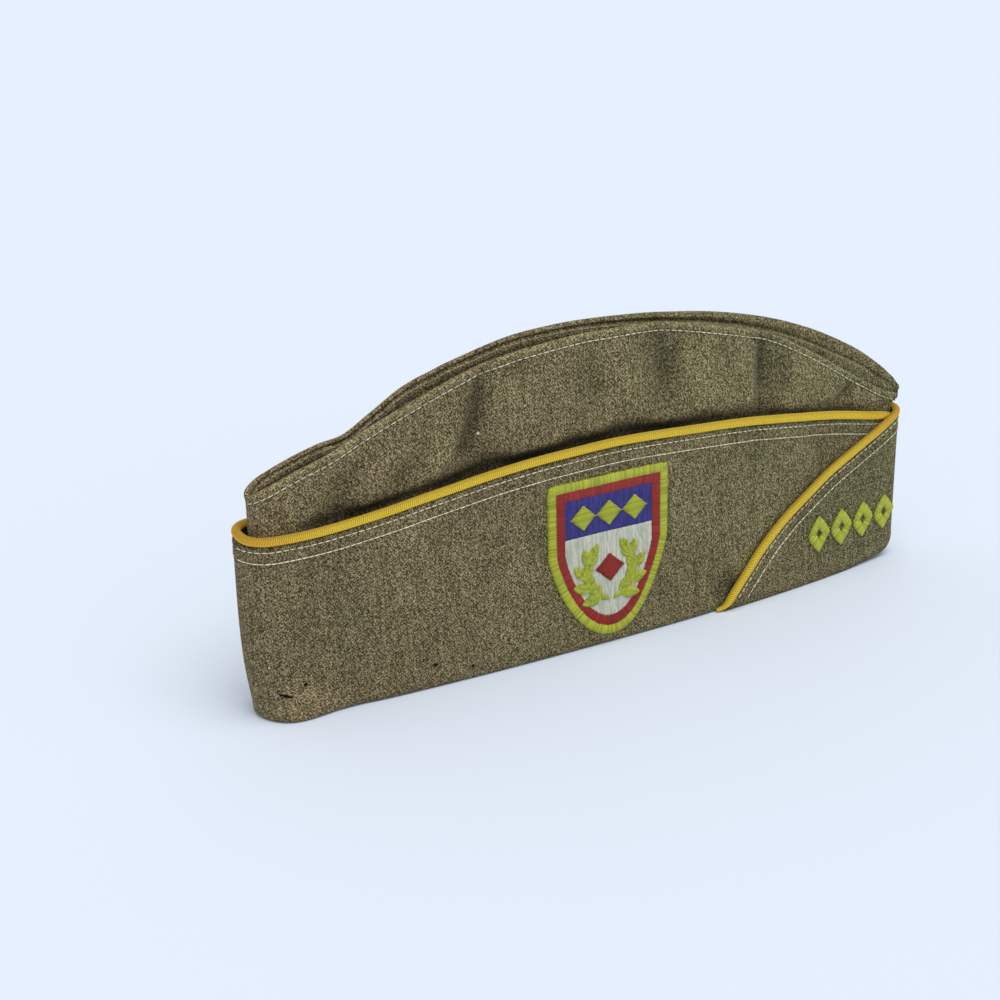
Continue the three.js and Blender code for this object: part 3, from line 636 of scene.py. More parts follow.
wool = {
    "shades": [  # place on the ramp and colour, from dark to light
        (0.12, (0.016, 0.011, 0.006, 1)),
        (0.5, (0.106, 0.0885, 0.0425, 1)),
        (0.9, (0.41, 0.362, 0.222, 1)),
    ],
    # How much darker the colour is painted for one unit of painted shade.
    "paintedShadeDark": 0.54,
    "twillTurn": 62,  # degrees that the twill leans
    "yarn": (1.15, 2.1, 1.0),  # tufts of one shade in a millimetre, along the twill and across it
    "fine": 3.1,
    "twill": 1.05,  # millimetres from one twill line to the next
    "mottle": 0.11,
    "grain": 1.4,
    "tuftScale": 1.35,
    "warpScale": (0.75, 0.035, 1),
    "weftScale": (0.04, 0.8, 1),
    "ragged": 1.1,
    # Moth holes are painted near-black, for the shade seen through them.
    "holeShade": (0.008, 0.004, 0.002, 1),
    "lint": (0.6, 0.57, 0.46, 1),
    "green": (0.95, 1.03, 0.88, 1),
    "brown": (1.06, 0.965, 0.93, 1),
    "bump": 0.7,
    "relief": 0.00025,
    "roughness": 0.95,
    "gloss": 0.1,
    "sheen": 0.12,
    "sheenRoughness": 0.45,
    "sheenTint": (0.62, 0.56, 0.44, 1),
}
# Moth holes and two flecks of lint: place in the cap, half their length and height, and how far
# they slant down towards the front in degrees.
mothHoles = table(
    "x y z long tall slant",
    (-131.0, -11.6, 10.3, 2.3, 0.5, 22),
    (-124.0, -12.7, 13.2, 0.5, 0.7, -20),
    (-75.1, -15.8, 9.0, 0.9, 0.6, 0),
    (-60.3, -16.0, 5.1, 0.6, 0.45, 0),
    (67.7, -6.5, 103.6, 0.7, 0.8, 0),
)
lintFlecks = table(
    "x y z long tall slant",
    (-51.5, -9.5, 89.7, 0.55, 0.45, 0),
    (-135.9, -8.6, 21.5, 0.3, 0.35, 0),
)


# 1 inside the spots and 0 outside them, with ragged rims.
def spotMask(tree, spots, placed, ragged):
    total = 0.0
    for spot in spots:
        middle = [(spot[k] + shift) * 0.001 for k, shift in zip("xyz", rowShift)]
        size = (1000 / spot["long"], 200, 1000 / spot["tall"])
        moved = made(tree, "ShaderNodeVectorMath", {0: placed, 1: middle}, operation="SUBTRACT")
        inputs = {"Vector": moved, "Angle": -math.radians(spot["slant"])}
        level = made(tree, "ShaderNodeVectorRotate", inputs, rotation_type="Y_AXIS")
        scaled = made(tree, "ShaderNodeVectorMath", {0: level, 1: size}, operation="MULTIPLY")
        far = made(tree, "ShaderNodeVectorMath", {0: scaled}, "Value", operation="LENGTH")
        mask = mapped(tree, maths(tree, "ADD", far, ragged), 1.25, 0.85, 0.0, 1.0)
        total = maths(tree, "MAXIMUM", total, mask)
    return total


def woolMaterial():
    material, tree, placed = startMaterial("heatheredWool")
    flat = made(tree, "ShaderNodeUVMap", uv_map="clothMap")

    def mapping(place, **inputs):
        return made(tree, "ShaderNodeMapping", {"Vector": place} | inputs)

    def share(value, amount):
        return maths(tree, "MULTIPLY", maths(tree, "SUBTRACT", value, 0.5), amount)

    turned = mapping(flat, Rotation=(0, 0, math.radians(wool["twillTurn"])))
    pulled = mapping(turned, Scale=wool["yarn"])
    grain = noise(tree, pulled, 1.0, 2.0, 0.75)
    inputs = {"Vector": pulled, "Scale": wool["tuftScale"]}
    cells = made(tree, "ShaderNodeTexVoronoi", inputs, "Color")
    tuft = made(tree, "ShaderNodeSeparateColor", {0: cells})
    fibre = noise(tree, flat, wool["fine"], 2.0, 0.6)
    inputs = {"Vector": turned, "Scale": math.pi / 10 / wool["twill"]}
    inputs |= {"Distortion": 1.6, "Detail": 2.0, "Detail Scale": 2.2}
    lines = made(tree, "ShaderNodeTexWave", inputs, 1)
    warp = noise(tree, mapping(flat, Scale=wool["warpScale"]), 1.0)
    weft = noise(tree, mapping(flat, Scale=wool["weftScale"]), 1.0)
    mottle = noise(tree, flat, wool["mottle"], 3.0, 0.55)
    tone = maths(tree, "ADD", share(grain, wool["grain"]), 0.5)
    parts = ((tuft, 0.5), (fibre, 1.1), (lines, 0.1), (warp, 0.3), (weft, 0.1), (mottle, 0.12))
    for value, amount in parts:
        tone = maths(tree, "ADD", tone, share(value, amount))
    ramp = addNode(tree, "ShaderNodeValToRGB", {0: tone})
    stops = ramp.color_ramp.elements
    stops.new(0.5)
    for stop, (at, colour) in zip(stops, wool["shades"]):
        stop.position, stop.color = at, colour
    backward = mapped(tree, made(tree, "ShaderNodeSeparateXYZ", {0: placed}), 0.12, -0.14, -0.25, 0.5)
    tinge = maths(tree, "ADD", noise(tree, placed, 38.0), backward)
    hue = mixColours(tree, tinge, wool["green"], wool["brown"])
    colour = mixColours(tree, 1.0, ramp.outputs[0], hue, "MULTIPLY")
    # Painted shade and painted light: the crease attribute darkens the colour in hollows and lightens it
    # where the cloth stands out.
    crease = made(tree, "ShaderNodeAttribute", output="Fac", attribute_name="crease")
    light = maths(tree, "SUBTRACT", 1.0, maths(tree, "MULTIPLY", crease, wool["paintedShadeDark"]))
    ragged = share(noise(tree, placed, 900.0, 1.0), wool["ragged"])
    holes = spotMask(tree, mothHoles, placed, ragged)
    # The moth holes are painted near-black, for the shade seen through them.
    colour = mixColours(tree, holes, scaleColour(tree, colour, light), wool["holeShade"])
    colour = mixColours(tree, spotMask(tree, lintFlecks, placed, ragged), colour, wool["lint"])
    height = maths(tree, "MULTIPLY", grain, 0.8)
    for value, amount in ((lines, 0.35), (fibre, 0.45), (holes, -2.5)):
        height = maths(tree, "ADD", height, maths(tree, "MULTIPLY", value, amount))
    finishMaterial(tree, colour, height, wool)
    return material


threadFinish = {
    "twistScale": 2600.0,
    "strandShare": 0.7,
    "twistShare": 0.5,
    "bump": 0.35,
    "relief": 0.00012,
    "roughness": 0.5,
    "gloss": 0.35,
    "sheen": 0.15,
    "sheenRoughness": 0.4,
    "sheenTint": (1, 1, 1, 1),
}


def threadMaterial(name, shadow, lit):
    material, tree, placed = startMaterial(name)
    strand = made(tree, "ShaderNodeAttribute", output="Fac", attribute_name="strandShade")
    twist = noise(tree, placed, threadFinish["twistScale"])
    strand = maths(tree, "MULTIPLY", strand, threadFinish["strandShare"])
    tone = maths(tree, "ADD", strand, maths(tree, "MULTIPLY", twist, threadFinish["twistShare"]))
    finishMaterial(tree, mixColours(tree, tone, shadow, lit), twist, threadFinish)
    return material


cord = {
    "radius": 0.00155,
    "ribPitch": 0.00076,
    "ribDepth": 0.0003,
    "twist": 0.9,
    "sides": 18,
    "step": 0.00015,
    # The grooves between the ribs are painted dark, for the shade in them.
    "groove": (0.16, 0.075, 0.002, 1),
    "crest": (0.92, 0.68, 0.045, 1),
    "orange": (0.78, 0.43, 0.03, 1),
    "ribPower": 1.6,
    "ribMiddle": 0.6,
    "orangeFrom": 0.112,  # metres from the middle of the cap, where the orange starts and is full
    "orangeTo": 0.14,
    # Painted light: the cord is painted darker where it faces up and lighter where it faces down.
    "paintedLightByFacing": (0.9, -0.5, 0.6, 1.35),  # facing up and down, and how light the cord is there
    "bump": 0.3,
    "relief": 0.00008,
    "roughness": 0.6,
    "gloss": 0.25,
    "sheen": 0.1,
    "sheenRoughness": 0.4,
    "sheenTint": (1, 0.9, 0.6, 1),
}


def cordMaterial():
    material, tree, placed = startMaterial("goldenCord")
    rib = made(tree, "ShaderNodeAttribute", output="Fac", attribute_name="ribHeight")
    fine, wide = noise(tree, placed, 1700.0), noise(tree, placed, 60.0)
    out = maths(tree, "ABSOLUTE", made(tree, "ShaderNodeSeparateXYZ", {0: placed}))
    # More orange towards both ends of the cap, and in soft random patches.
    nearEnds = mapped(tree, out, cord["orangeFrom"], cord["orangeTo"], 0.0, 0.75)
    orangeShare = maths(tree, "ADD", nearEnds, maths(tree, "MULTIPLY", wide, 0.25))
    crest = mixColours(tree, orangeShare, cord["crest"], cord["orange"])
    # Painted shade: darker in the grooves between the ribs.
    tone = maths(tree, "ADD", maths(tree, "MULTIPLY", rib, 0.95), maths(tree, "MULTIPLY", fine, 0.35))
    colour = mixColours(tree, maths(tree, "SUBTRACT", tone, 0.06), cord["groove"], crest)
    # Painted light: lighter on the cord's lower side, darker on its top.
    upward = made(tree, "ShaderNodeAttribute", output="Fac", attribute_name="facingUp")
    paintedLight = mapped(tree, upward, *cord["paintedLightByFacing"])
    finishMaterial(tree, scaleColour(tree, colour, paintedLight), fine, cord)
    return material


threads = table(
    "name slot shadow lit",
    ("lemon", "lemon_thread", (0.19, 0.22, 0.008, 1), (0.52, 0.55, 0.045, 1)),
    ("red", "red_thread", (0.13, 0.006, 0.004, 1), (0.36, 0.02, 0.012, 1)),
    ("blue", "blue_thread", (0.014, 0.013, 0.09, 1), (0.05, 0.046, 0.27, 1)),
    ("ivory", "ivory_thread", (0.36, 0.37, 0.27, 1), (0.66, 0.67, 0.56, 1)),
    ("leaf", "leaf_thread", (0.17, 0.21, 0.008, 1), (0.46, 0.50, 0.045, 1)),
    ("cream", "ivory_thread", (0.40, 0.36, 0.22, 1), (0.80, 0.74, 0.53, 1)),
    ("tan", "ivory_thread", (0.14, 0.115, 0.06, 1), (0.34, 0.30, 0.19, 1)),
)
materials = {"wool": woolMaterial(), "cord": cordMaterial()}
for thread in threads:
    materials[thread["name"]] = threadMaterial(thread["name"] + "Thread", thread["shadow"], thread["lit"])
threadSlots = {thread["name"]: thread["slot"] for thread in threads}
print("materials made")


def startTree(name, inputs):
    tree = bpy.data.node_groups.new(name, "GeometryNodeTree")
    tree.interface.new_socket("Geometry", in_out="INPUT", socket_type="NodeSocketGeometry")
    for label, kind in inputs.items():
        tree.interface.new_socket(label, in_out="INPUT", socket_type="NodeSocket" + kind)
    tree.interface.new_socket("Geometry", in_out="OUTPUT", socket_type="NodeSocketGeometry")
    return tree, addNode(tree, "NodeGroupInput").outputs


def runTree(obj, tree, values):
    ids = {
        item.name: item.identifier
        for item in tree.interface.items_tree
        if item.item_type == "SOCKET" and item.in_out == "INPUT"
    }
    modifier = obj.modifiers.new(tree.name, "NODES")
    modifier.node_group = tree
    for label, value in values.items():
        modifier[ids[label]] = value
    bpy.context.view_layer.update()
    graph = bpy.context.evaluated_depsgraph_get()
    made = bpy.data.meshes.new_from_object(
        obj.evaluated_get(graph), preserve_all_data_layers=True, depsgraph=graph
    )
    obj.modifiers.clear()
    old = obj.data
    obj.data = made
    bpy.data.meshes.remove(old)
    made.name = obj.name
    return obj


def namedValue(tree, label, kind="FLOAT"):
    return made(tree, "GeometryNodeInputNamedAttribute", {"Name": label}, data_type=kind)


def storeValue(tree, geometry, label, value, domain="POINT"):
    return made(
        tree,
        "GeometryNodeStoreNamedAttribute",
        {"Geometry": geometry, "Name": label, "Value": value},
        data_type="FLOAT",
        domain=domain,
    )


# Braids a cord of ribs that zigzag round a line.
def cordTree():
    tree, given = startTree(
        "wrappedCord",
        {"Rib Pitch": "Float", "Rib Depth": "Float", "Twist": "Float", "Sides": "Int", "Step": "Float",
         "Material": "Material"},
    )
    line = made(tree, "GeometryNodeMeshToCurve", {0: given["Geometry"]})
    line = made(
        tree, "GeometryNodeResampleCurve", {"Curve": line, "Length": given["Step"]}, mode="LENGTH"
    )
    parameter = addNode(tree, "GeometryNodeSplineParameter").outputs
    line = storeValue(tree, line, "alongCord", parameter["Length"])
    circle = made(tree, "GeometryNodeCurvePrimitiveCircle", {"Resolution": given["Sides"], "Radius": 1.0})
    circle = storeValue(tree, circle, "roundCord", parameter["Factor"])
    sweep = addNode(
        tree,
        "GeometryNodeCurveToMesh",
        {"Curve": line, "Profile Curve": circle, "Scale": namedValue(tree, "girth"), "Fill Caps": True},
    )
    turns = maths(tree, "DIVIDE", namedValue(tree, "alongCord"), given["Rib Pitch"])
    thirds = maths(tree, "FRACT", maths(tree, "MULTIPLY", namedValue(tree, "roundCord"), 3.0))
    zigzag = maths(tree, "ABSOLUTE", maths(tree, "SUBTRACT", thirds, 0.5))
    slant = maths(tree, "MULTIPLY", zigzag, maths(tree, "MULTIPLY", given["Twist"], 2.0))
    phase = maths(tree, "MULTIPLY", maths(tree, "ADD", turns, slant), math.pi)
    rib = maths(tree, "POWER", maths(tree, "ABSOLUTE", maths(tree, "SINE", phase)), cord["ribPower"])
    body = storeValue(tree, sweep.outputs[0], "ribHeight", rib)
    facing = made(tree, "GeometryNodeInputNormal")
    upward = addNode(tree, "ShaderNodeSeparateXYZ", {0: facing}).outputs[2]
    body = storeValue(tree, body, "facingUp", upward)
    depth = maths(tree, "SUBTRACT", rib, cord["ribMiddle"])
    depth = maths(tree, "MULTIPLY", depth, given["Rib Depth"])
    push = made(tree, "ShaderNodeVectorMath", {0: facing, "Scale": depth}, operation="SCALE")
    body = made(tree, "GeometryNodeSetPosition", {"Geometry": body, "Offset": push})
    body = made(tree, "GeometryNodeRealizeInstances", {0: body})
    body = made(tree, "GeometryNodeSetMaterial", {"Geometry": body, "Material": given["Material"]})
    addNode(tree, "NodeGroupOutput", {0: body})
    return tree


# Lays one strand of thread on each point that is marked as sewn, and leaves the padding under it.
def strandTree():
    tree, given = startTree(
        "sewnStrands",
        {"Arch": "Float", "Dip": "Float", "Taper": "Float", "Sides": "Int", "Loose": "Float",
         "Seed": "Int", "Material": "Material"},
    )
    line = made(tree, "GeometryNodeCurvePrimitiveLine", {"Start": (-0.5, 0, 0), "End": (0.5, 0, 0)})
    line = made(tree, "GeometryNodeResampleCurve", {"Curve": line, "Count": 7})
    place = made(tree, "GeometryNodeInputPosition")
    x = made(tree, "ShaderNodeSeparateXYZ", {0: place})
    squared = maths(tree, "MULTIPLY", maths(tree, "MULTIPLY", x, x), 4.0)
    rise = maths(tree, "MULTIPLY", maths(tree, "SUBTRACT", 1.0, squared), given["Arch"])
    rise = maths(tree, "SUBTRACT", rise, maths(tree, "MULTIPLY", squared, given["Dip"]))
    lift = made(tree, "ShaderNodeCombineXYZ", {"Z": rise})
    line = made(tree, "GeometryNodeSetPosition", {"Geometry": line, "Offset": lift})
    fourth = maths(tree, "MULTIPLY", squared, squared)
    narrow = maths(tree, "MULTIPLY", fourth, maths(tree, "SUBTRACT", 1.0, given["Taper"]))
    girth = maths(tree, "MULTIPLY", maths(tree, "SUBTRACT", 1.0, narrow), 0.5)
    line = storeValue(tree, line, "girth", girth)
    circle = made(tree, "GeometryNodeCurvePrimitiveCircle", {"Resolution": given["Sides"], "Radius": 1.0})
    sweep = addNode(
        tree,
        "GeometryNodeCurveToMesh",
        {"Curve": line, "Profile Curve": circle, "Scale": namedValue(tree, "girth"), "Fill Caps": True},
    )
    isSewn = made(
        tree, "FunctionNodeCompare", {0: namedValue(tree, "sewn"), 1: 0.5}, operation="GREATER_THAN"
    )
    turn = made(
        tree,
        "FunctionNodeAxesToRotation",
        {"Primary Axis": namedValue(tree, "run", "FLOAT_VECTOR"),
         "Secondary Axis": namedValue(tree, "face", "FLOAT_VECTOR")},
        primary_axis="X",
        secondary_axis="Z",
    )
    low = maths(tree, "SUBTRACT", 1.0, given["Loose"])
    high = maths(tree, "ADD", 1.0, given["Loose"])

    def chance(least, most, shift):
        inputs = {2: least, 3: most, 8: maths(tree, "ADD", given["Seed"], shift)}
        return addNode(tree, "FunctionNodeRandomValue", inputs, data_type="FLOAT").outputs[1]

    reach = maths(tree, "MULTIPLY", namedValue(tree, "reach"), chance(low, high, 1))
    wide = maths(tree, "MULTIPLY", namedValue(tree, "wide"), chance(low, high, 2))
    size = made(tree, "ShaderNodeCombineXYZ", {"X": reach, "Y": wide, "Z": wide})
    strands = made(
        tree,
        "GeometryNodeInstanceOnPoints",
        {"Points": given["Geometry"], "Selection": isSewn, "Instance": sweep.outputs[0],
         "Rotation": turn, "Scale": size},
    )
    strands = storeValue(tree, strands, "strandShade", chance(0.0, 1.0, 3), "INSTANCE")
    strands = made(tree, "GeometryNodeRealizeInstances", {0: strands})
    padding = made(
        tree, "GeometryNodeDeleteGeometry", {"Geometry": given["Geometry"], "Selection": isSewn}
    )
    both = addNode(tree, "GeometryNodeJoinGeometry")
    tree.links.new(padding, both.inputs[0])
    tree.links.new(strands, both.inputs[0])
    smooth = made(tree, "GeometryNodeSetShadeSmooth", {"Geometry": both.outputs[0]})
    done = made(tree, "GeometryNodeSetMaterial", {"Geometry": smooth, "Material": given["Material"]})
    addNode(tree, "NodeGroupOutput", {0: done})
    return tree


wrapping, sewing = cordTree(), strandTree()
print("node trees made")


def place(obj, nodes, slot):
    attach(obj, "root")
    if nodes:
        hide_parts(*nodes)
    print(obj.name, len(obj.data.polygons), "faces")


crown = {
    "columns": 300,
    # A share of the height, and how many rows lie from there to the next.
    "rowParts": [(0, 14), (0.5, 34), (0.84, 8), (0.94, 15), (1, 0)],
    "roll": 1.25,
    "rim": 0.38,
    "innerRows": 22,
    "rimFade": (2.3, 3.1),
    "stitchDrop": 2.9,
    "groove": 0.16,
    "grooveWide": 0.55,
    "foot": 1.5,
}
# Painted shade on the crown: darker in its hollows, where it draws in behind the cord, just above the
# cord and along the stitching; painted light on what stands out and on the top roll. It is also painted
# lighter overall and towards its ends.
crownPaintedShades = {
    "deep": 2.2,  # millimetres of relief for one full shade
    "deepTuck": 4.2,
    "overCord": 0.85,
    "base": 0.1,
    "front": 0.3,
    "back": 0.15,
    "stitches": 0.45,
    "rim": 0.22,
}


# How much thicker the crown is above its topstitching, and the groove that the thread pulls in.
def rimPuff(drop):
    puff = crown["rim"] * (1 - ease(drop, *crown["rimFade"]))
    return puff - crown["groove"] * bell(drop, crown["stitchDrop"], crown["grooveWide"])


def crownPaintedShade(s, z, high, side):
    up = z / high
    x = blend(crownLow.x(s), crownHigh.x(s), up)
    along = shareAlong(x)
    drawn = tuckDepth(x, z, along, side)
    relief = crownRelief(x, z, along, up, side)
    # Painted shade in the hollows and where the cloth draws in behind the cord, and painted light where
    # it stands out.
    paintedShade = -(relief + drawn) / crownPaintedShades["deep"] + (drawn / crownPaintedShades["deepTuck"]) ** 2
    # Painted shadow just above the cord, away from the back end, and the whole crown painted a little
    # lighter.
    overCord = bell(z, curtainHeight(x, side) + 2.4, 1.5) * ease(x, -125, -100)
    paintedShade = paintedShade + crownPaintedShades["overCord"] * overCord - crownPaintedShades["base"]
    # Lighter towards the front and back ends.
    paintedShade = paintedShade - crownPaintedShades["front"] * ease(x, 50, 105) - crownPaintedShades["back"] * ease(-x, 85, 125)
    drop = high - z
    # Painted shade in the groove along the stitching, and painted light on the top roll.
    paintedShade = paintedShade + crownPaintedShades["stitches"] * bell(drop, crown["stitchDrop"], 0.6)
    return paintedShade - crownPaintedShades["rim"] * (1 - ease(drop, 2, 3.2))


def makeCrown(name, side, node):
    s = np.linspace(0, 1, crown["columns"])
    high = ridgeHeight(s, side)
    parts = crown["rowParts"]
    rows = [np.linspace(a[0], b[0], a[1], endpoint=False) for a, b in zip(parts, parts[1:])]
    rows = np.concatenate(rows + [[1]])
    shoulder = high - crown["roll"]
    zs, lifts = [], []
    for t in rows:
        z = blend(crown["foot"], shoulder, t)
        zs.append(z)
        lifts.append(halfCrown + rimPuff(high - z))
    outer = halfCrown + crown["rim"]
    for angle in np.linspace(0, math.pi / 2, 8)[1:]:
        zs.append(shoulder + crown["roll"] * math.sin(angle))
        lifts.append(np.full_like(s, blend(-0.7, outer, math.cos(angle))))
    zs.append(high - 0.5)
    lifts.append(np.full_like(s, -0.66))
    for t in np.linspace(1, 0, crown["innerRows"]):
        zs.append(blend(crown["foot"], high - 1.5, t))
        lifts.append(np.full_like(s, -halfCrown))
    z, lift = np.stack(zs, 1), np.stack(lifts, 1)
    grid = crownPoint(s[:, None], z, side, lift)
    grid[..., 1] = side * np.maximum(grid[..., 1] * side, ends["seam"])
    grid[[0, -1], :, 1] = side * ends["seam"]
    paintedShade = crownPaintedShade(s[:, None], z, high[:, None], side)
    place(clothShell(name, grid, paintedShade), [node], "wool")


makeCrown("crownRightCloth", right, "crown_right")
makeCrown("crownLeftCloth", left, "crown_left")

pleat = {
    "columns": 290,
    "rows": 42,
    "foldPower": 1.6,
    "inset": 1.4,
    "narrowest": 0.25,
    "clearance": 2.4,  # of the fold's bottom below the lower ridge
    "behind": 0.72,  # of the crown's middle surface, where the pleat's face starts
    "face": 1.95,
    "inner": 0.85,
    "least": 0.03,  # from the cap's middle plane
    "seamAt": [-140, -60, 0, 40, 80, 110, 130, 141],
    "seamDrop": [1.0, 1.6, 2.0, 3.0, 4.4, 5.8, 5.0, 3.0],
    # Painted shade along the seam's ditch, and painted light on each leg's rolls.
    "seamPaintedShade": 0.6,
    "paintedShade": {right: 0.35, left: 0.15},
}


def pleatSeam(s):
    return np.interp(crownHigh.x(s), pleat["seamAt"], pleat["seamDrop"])


# How far the folded-in top piece stands out below its seam, and the seam's ditch.
def pleatRelief(drop, seam):
    roll = 0.35 * bell(drop, seam * 0.45, seam * 0.35)
    ditch = 0.7 * bell(drop, seam, 0.5)
    return roll - ditch + 0.6 * bell(drop, seam + 2.1, 1.3)


def pleatDepths(s):
    highs = {side: ridgeHeight(s, side) for side in (right, left)}
    room = np.maximum(crownHigh.y(crownHigh.x(s)) - pleat["inset"], 0)
    depth = cap["pleatDepth"] * room / (ridgeHalf - pleat["inset"])
    lower = np.minimum(highs[right], highs[left])
    return highs, np.minimum((highs[right] + highs[left]) / 2 - depth, lower - pleat["clearance"])


# A point of the top piece on one leg of its fold, at a height, standing out by some lift.
def pleatLeg(s, z, side, lift=0.0):
    highs, lowest = pleatDepths(s)
    top = highs[side] - crown["roll"]
    down = np.clip((top - z) / (top - lowest), 0, 1)
    relief = pleatRelief(highs[side] - z, pleatSeam(s)) + lift
    face = crownPoint(s, top, side, -pleat["face"] - relief)
    least = pleat["least"]
    if side == left:
        least = least - ease(z, highs[right] + 0.2, highs[right] + 1.8) * ease(face[:, 0], 50, 90)
    across = np.maximum(face[:, 1] * side, least) * (1 - down ** pleat["foldPower"])
    middle = (face[:, 0] + crownPoint(s, top, -side, -pleat["face"])[:, 0]) / 2
    return np.stack([blend(face[:, 0], middle, down), side * across, z + 0 * s], -1)


# The outer face of the pleat on one leg, from inside the crown's edge down to the fold.
def pleatOutside(s, side, high, lowest):
    line = [
        crownPoint(s, high - drop, side, -lift)
        for drop, lift in ((0.5, 0.74), (0.12, pleat["behind"]))
    ]
    for angle in np.linspace(0.15, math.pi / 2, 7)[:-1]:
        lift = -pleat["behind"] - (pleat["face"] - pleat["behind"]) * math.sin(angle)
        line.append(crownPoint(s, high - crown["roll"] * (1 - math.cos(angle)), side, lift))
    for part in line:
        part[:, 1] = side * np.maximum(part[:, 1] * side, pleat["least"])
    paintedShade = [np.zeros_like(s)] * len(line)
    for down in np.linspace(0, 1, pleat["rows"]):
        z = blend(high - crown["roll"], lowest, down)
        line.append(pleatLeg(s, z, side))
        # Painted shade along the seam, and each leg painted lighter.
        seam = bell(high - z, pleatSeam(s), 0.7)
        paintedShade.append(pleat["seamPaintedShade"] * seam - pleat["paintedShade"][side])
    return line, paintedShade


def pleatInside(s, side, high, lowest):
    face = crownPoint(s, high - crown["roll"], side, -pleat["inner"])
    line = []
    for down in np.linspace(1, 0, 14):
        z = blend(high - 1.6, lowest - cloth["pleat"], down)
        y = np.maximum(face[:, 1] * side, 0.05) * (1 - down ** pleat["foldPower"])
        line.append(np.stack([face[:, 0], side * y, z], -1))
    return line


def makePleat():
    s = np.linspace(0, 1, 2001)
    wide = s[crownHigh.y(crownHigh.x(s)) > pleat["narrowest"]]
    s = np.linspace(wide[0], wide[-1], pleat["columns"])
    highs, lowest = pleatDepths(s)
    (lineRight, shadeRight), (lineLeft, shadeLeft) = (
        pleatOutside(s, side, highs[side], lowest) for side in (right, left)
    )
    underRight, underLeft = (pleatInside(s, side, highs[side], lowest) for side in (right, left))
    ring = lineRight + lineLeft[-2::-1] + underLeft[::-1] + underRight[1:]
    # The pleat's inner faces are painted fully shaded.
    blank = [np.ones_like(s)] * (len(underLeft) + len(underRight) - 1)
    paintedShade = np.stack(shadeRight + shadeLeft[-2::-1] + blank, 1)
    place(clothShell("crownPleatCloth", np.stack(ring, 1), paintedShade), ["crown_pleat"], "wool")


makePleat()
print("crown made")

curtain = {
    "rows": 30,
    "rimRows": 18,
    "rimPart": 0.12,
    "innerRows": 20,
    "hem": 0.2,
    "hemFade": (6.4, 8.2),
    "raise": 0.22,
    "fold": 1.45,
    "foldPuff": 0.14,
    "stitchDrops": (2.0, 6.1),
    "groove": 0.12,
    "grooveWide": 0.55,
}
# Painted shade on the curtains: darker where the cloth sinks, in a painted shadow beside the lap's edge
# and at the lap's foot, under the cord along the top edge, along the stitching and along the bottom by
# the floor; the lap is painted a little darker all over.
curtainPaintedShades = {
    "wave": 0.45,
    "lap": 0.14,
    "behindLap": 0.8,
    "lapFoot": 1.2,
    "edge": 0.5,
    "stitches": 0.3,
    "fold": 0.25,
}


# The turned-in edge under the cord is thicker down to its second row of stitches.
def hemPuff(drop):
    puff = curtain["hem"] * (1 - ease(drop, *curtain["hemFade"]))
    for row in curtain["stitchDrops"]:
        puff = puff - curtain["groove"] * bell(drop, row, curtain["grooveWide"])
    return puff


# The sections of a curtain: heights and lifts round its outer face, edge, inner face and the fold
# at the bottom. wrap is 1 where the fold takes in the crown's foot, and 0 where the edge is plain.
def curtainSections(top, slope, wrap):
    fold = curtain["fold"]
    knee = 1 - curtain["rimPart"]
    rows = np.concatenate([
        np.linspace(0, knee, curtain["rows"], endpoint=False),
        np.linspace(knee, 1, curtain["rimRows"]),
    ])
    steep = 1 / np.sqrt(1 + slope**2)
    edge = np.minimum(halfCurtain, top * 0.3)
    foot = np.minimum(fold, top * 0.4)
    zs, lifts = [], []
    for t in rows:
        z = blend(foot, top - edge, t)
        zs.append(z)
        bottom = curtain["foldPuff"] * bell(z, 3.2, 2.6) * ease(top, 4, 12)
        lifts.append(halfCurtain + hemPuff((top - z) * steep) * ease(top, 2, 9) + bottom)
    outer = lifts[-1]
    for angle in np.linspace(0, math.pi, 10)[1:-1]:
        zs.append(top - edge + edge * math.sin(angle))
        lifts.append(blend(-halfCurtain, outer, (1 + math.cos(angle)) / 2))
    for t in np.linspace(1, 0, curtain["innerRows"]):
        zs.append(blend(foot, top - edge, t))
        lifts.append(np.full_like(top, -halfCurtain))
    slit = [(-0.80, 1.33), (-0.90, 1.28), (-1.0, 1.33), (-1.05, 1.45), (-1.6, 1.46)]
    plain = [(-0.75, 1.30), (-0.75, 1.16), (-0.75, 1.02), (-0.75, 0.9), (-0.75, 0.8)]
    middle = halfCurtain - fold
    for angle in np.linspace(math.pi, 0, 13)[:-1]:
        slit.append((middle + fold * math.cos(angle), fold - fold * math.sin(angle)))
        plain.append((halfCurtain * math.cos(angle), halfCurtain - halfCurtain * math.sin(angle)))
    scale = foot / fold
    for (liftA, zA), (liftB, zB) in zip(slit, plain):
        zs.append(blend(zB, zA, wrap) * scale)
        lifts.append(blend(liftB, liftA, wrap))
    return np.stack(zs, 1), np.stack(lifts, 1)


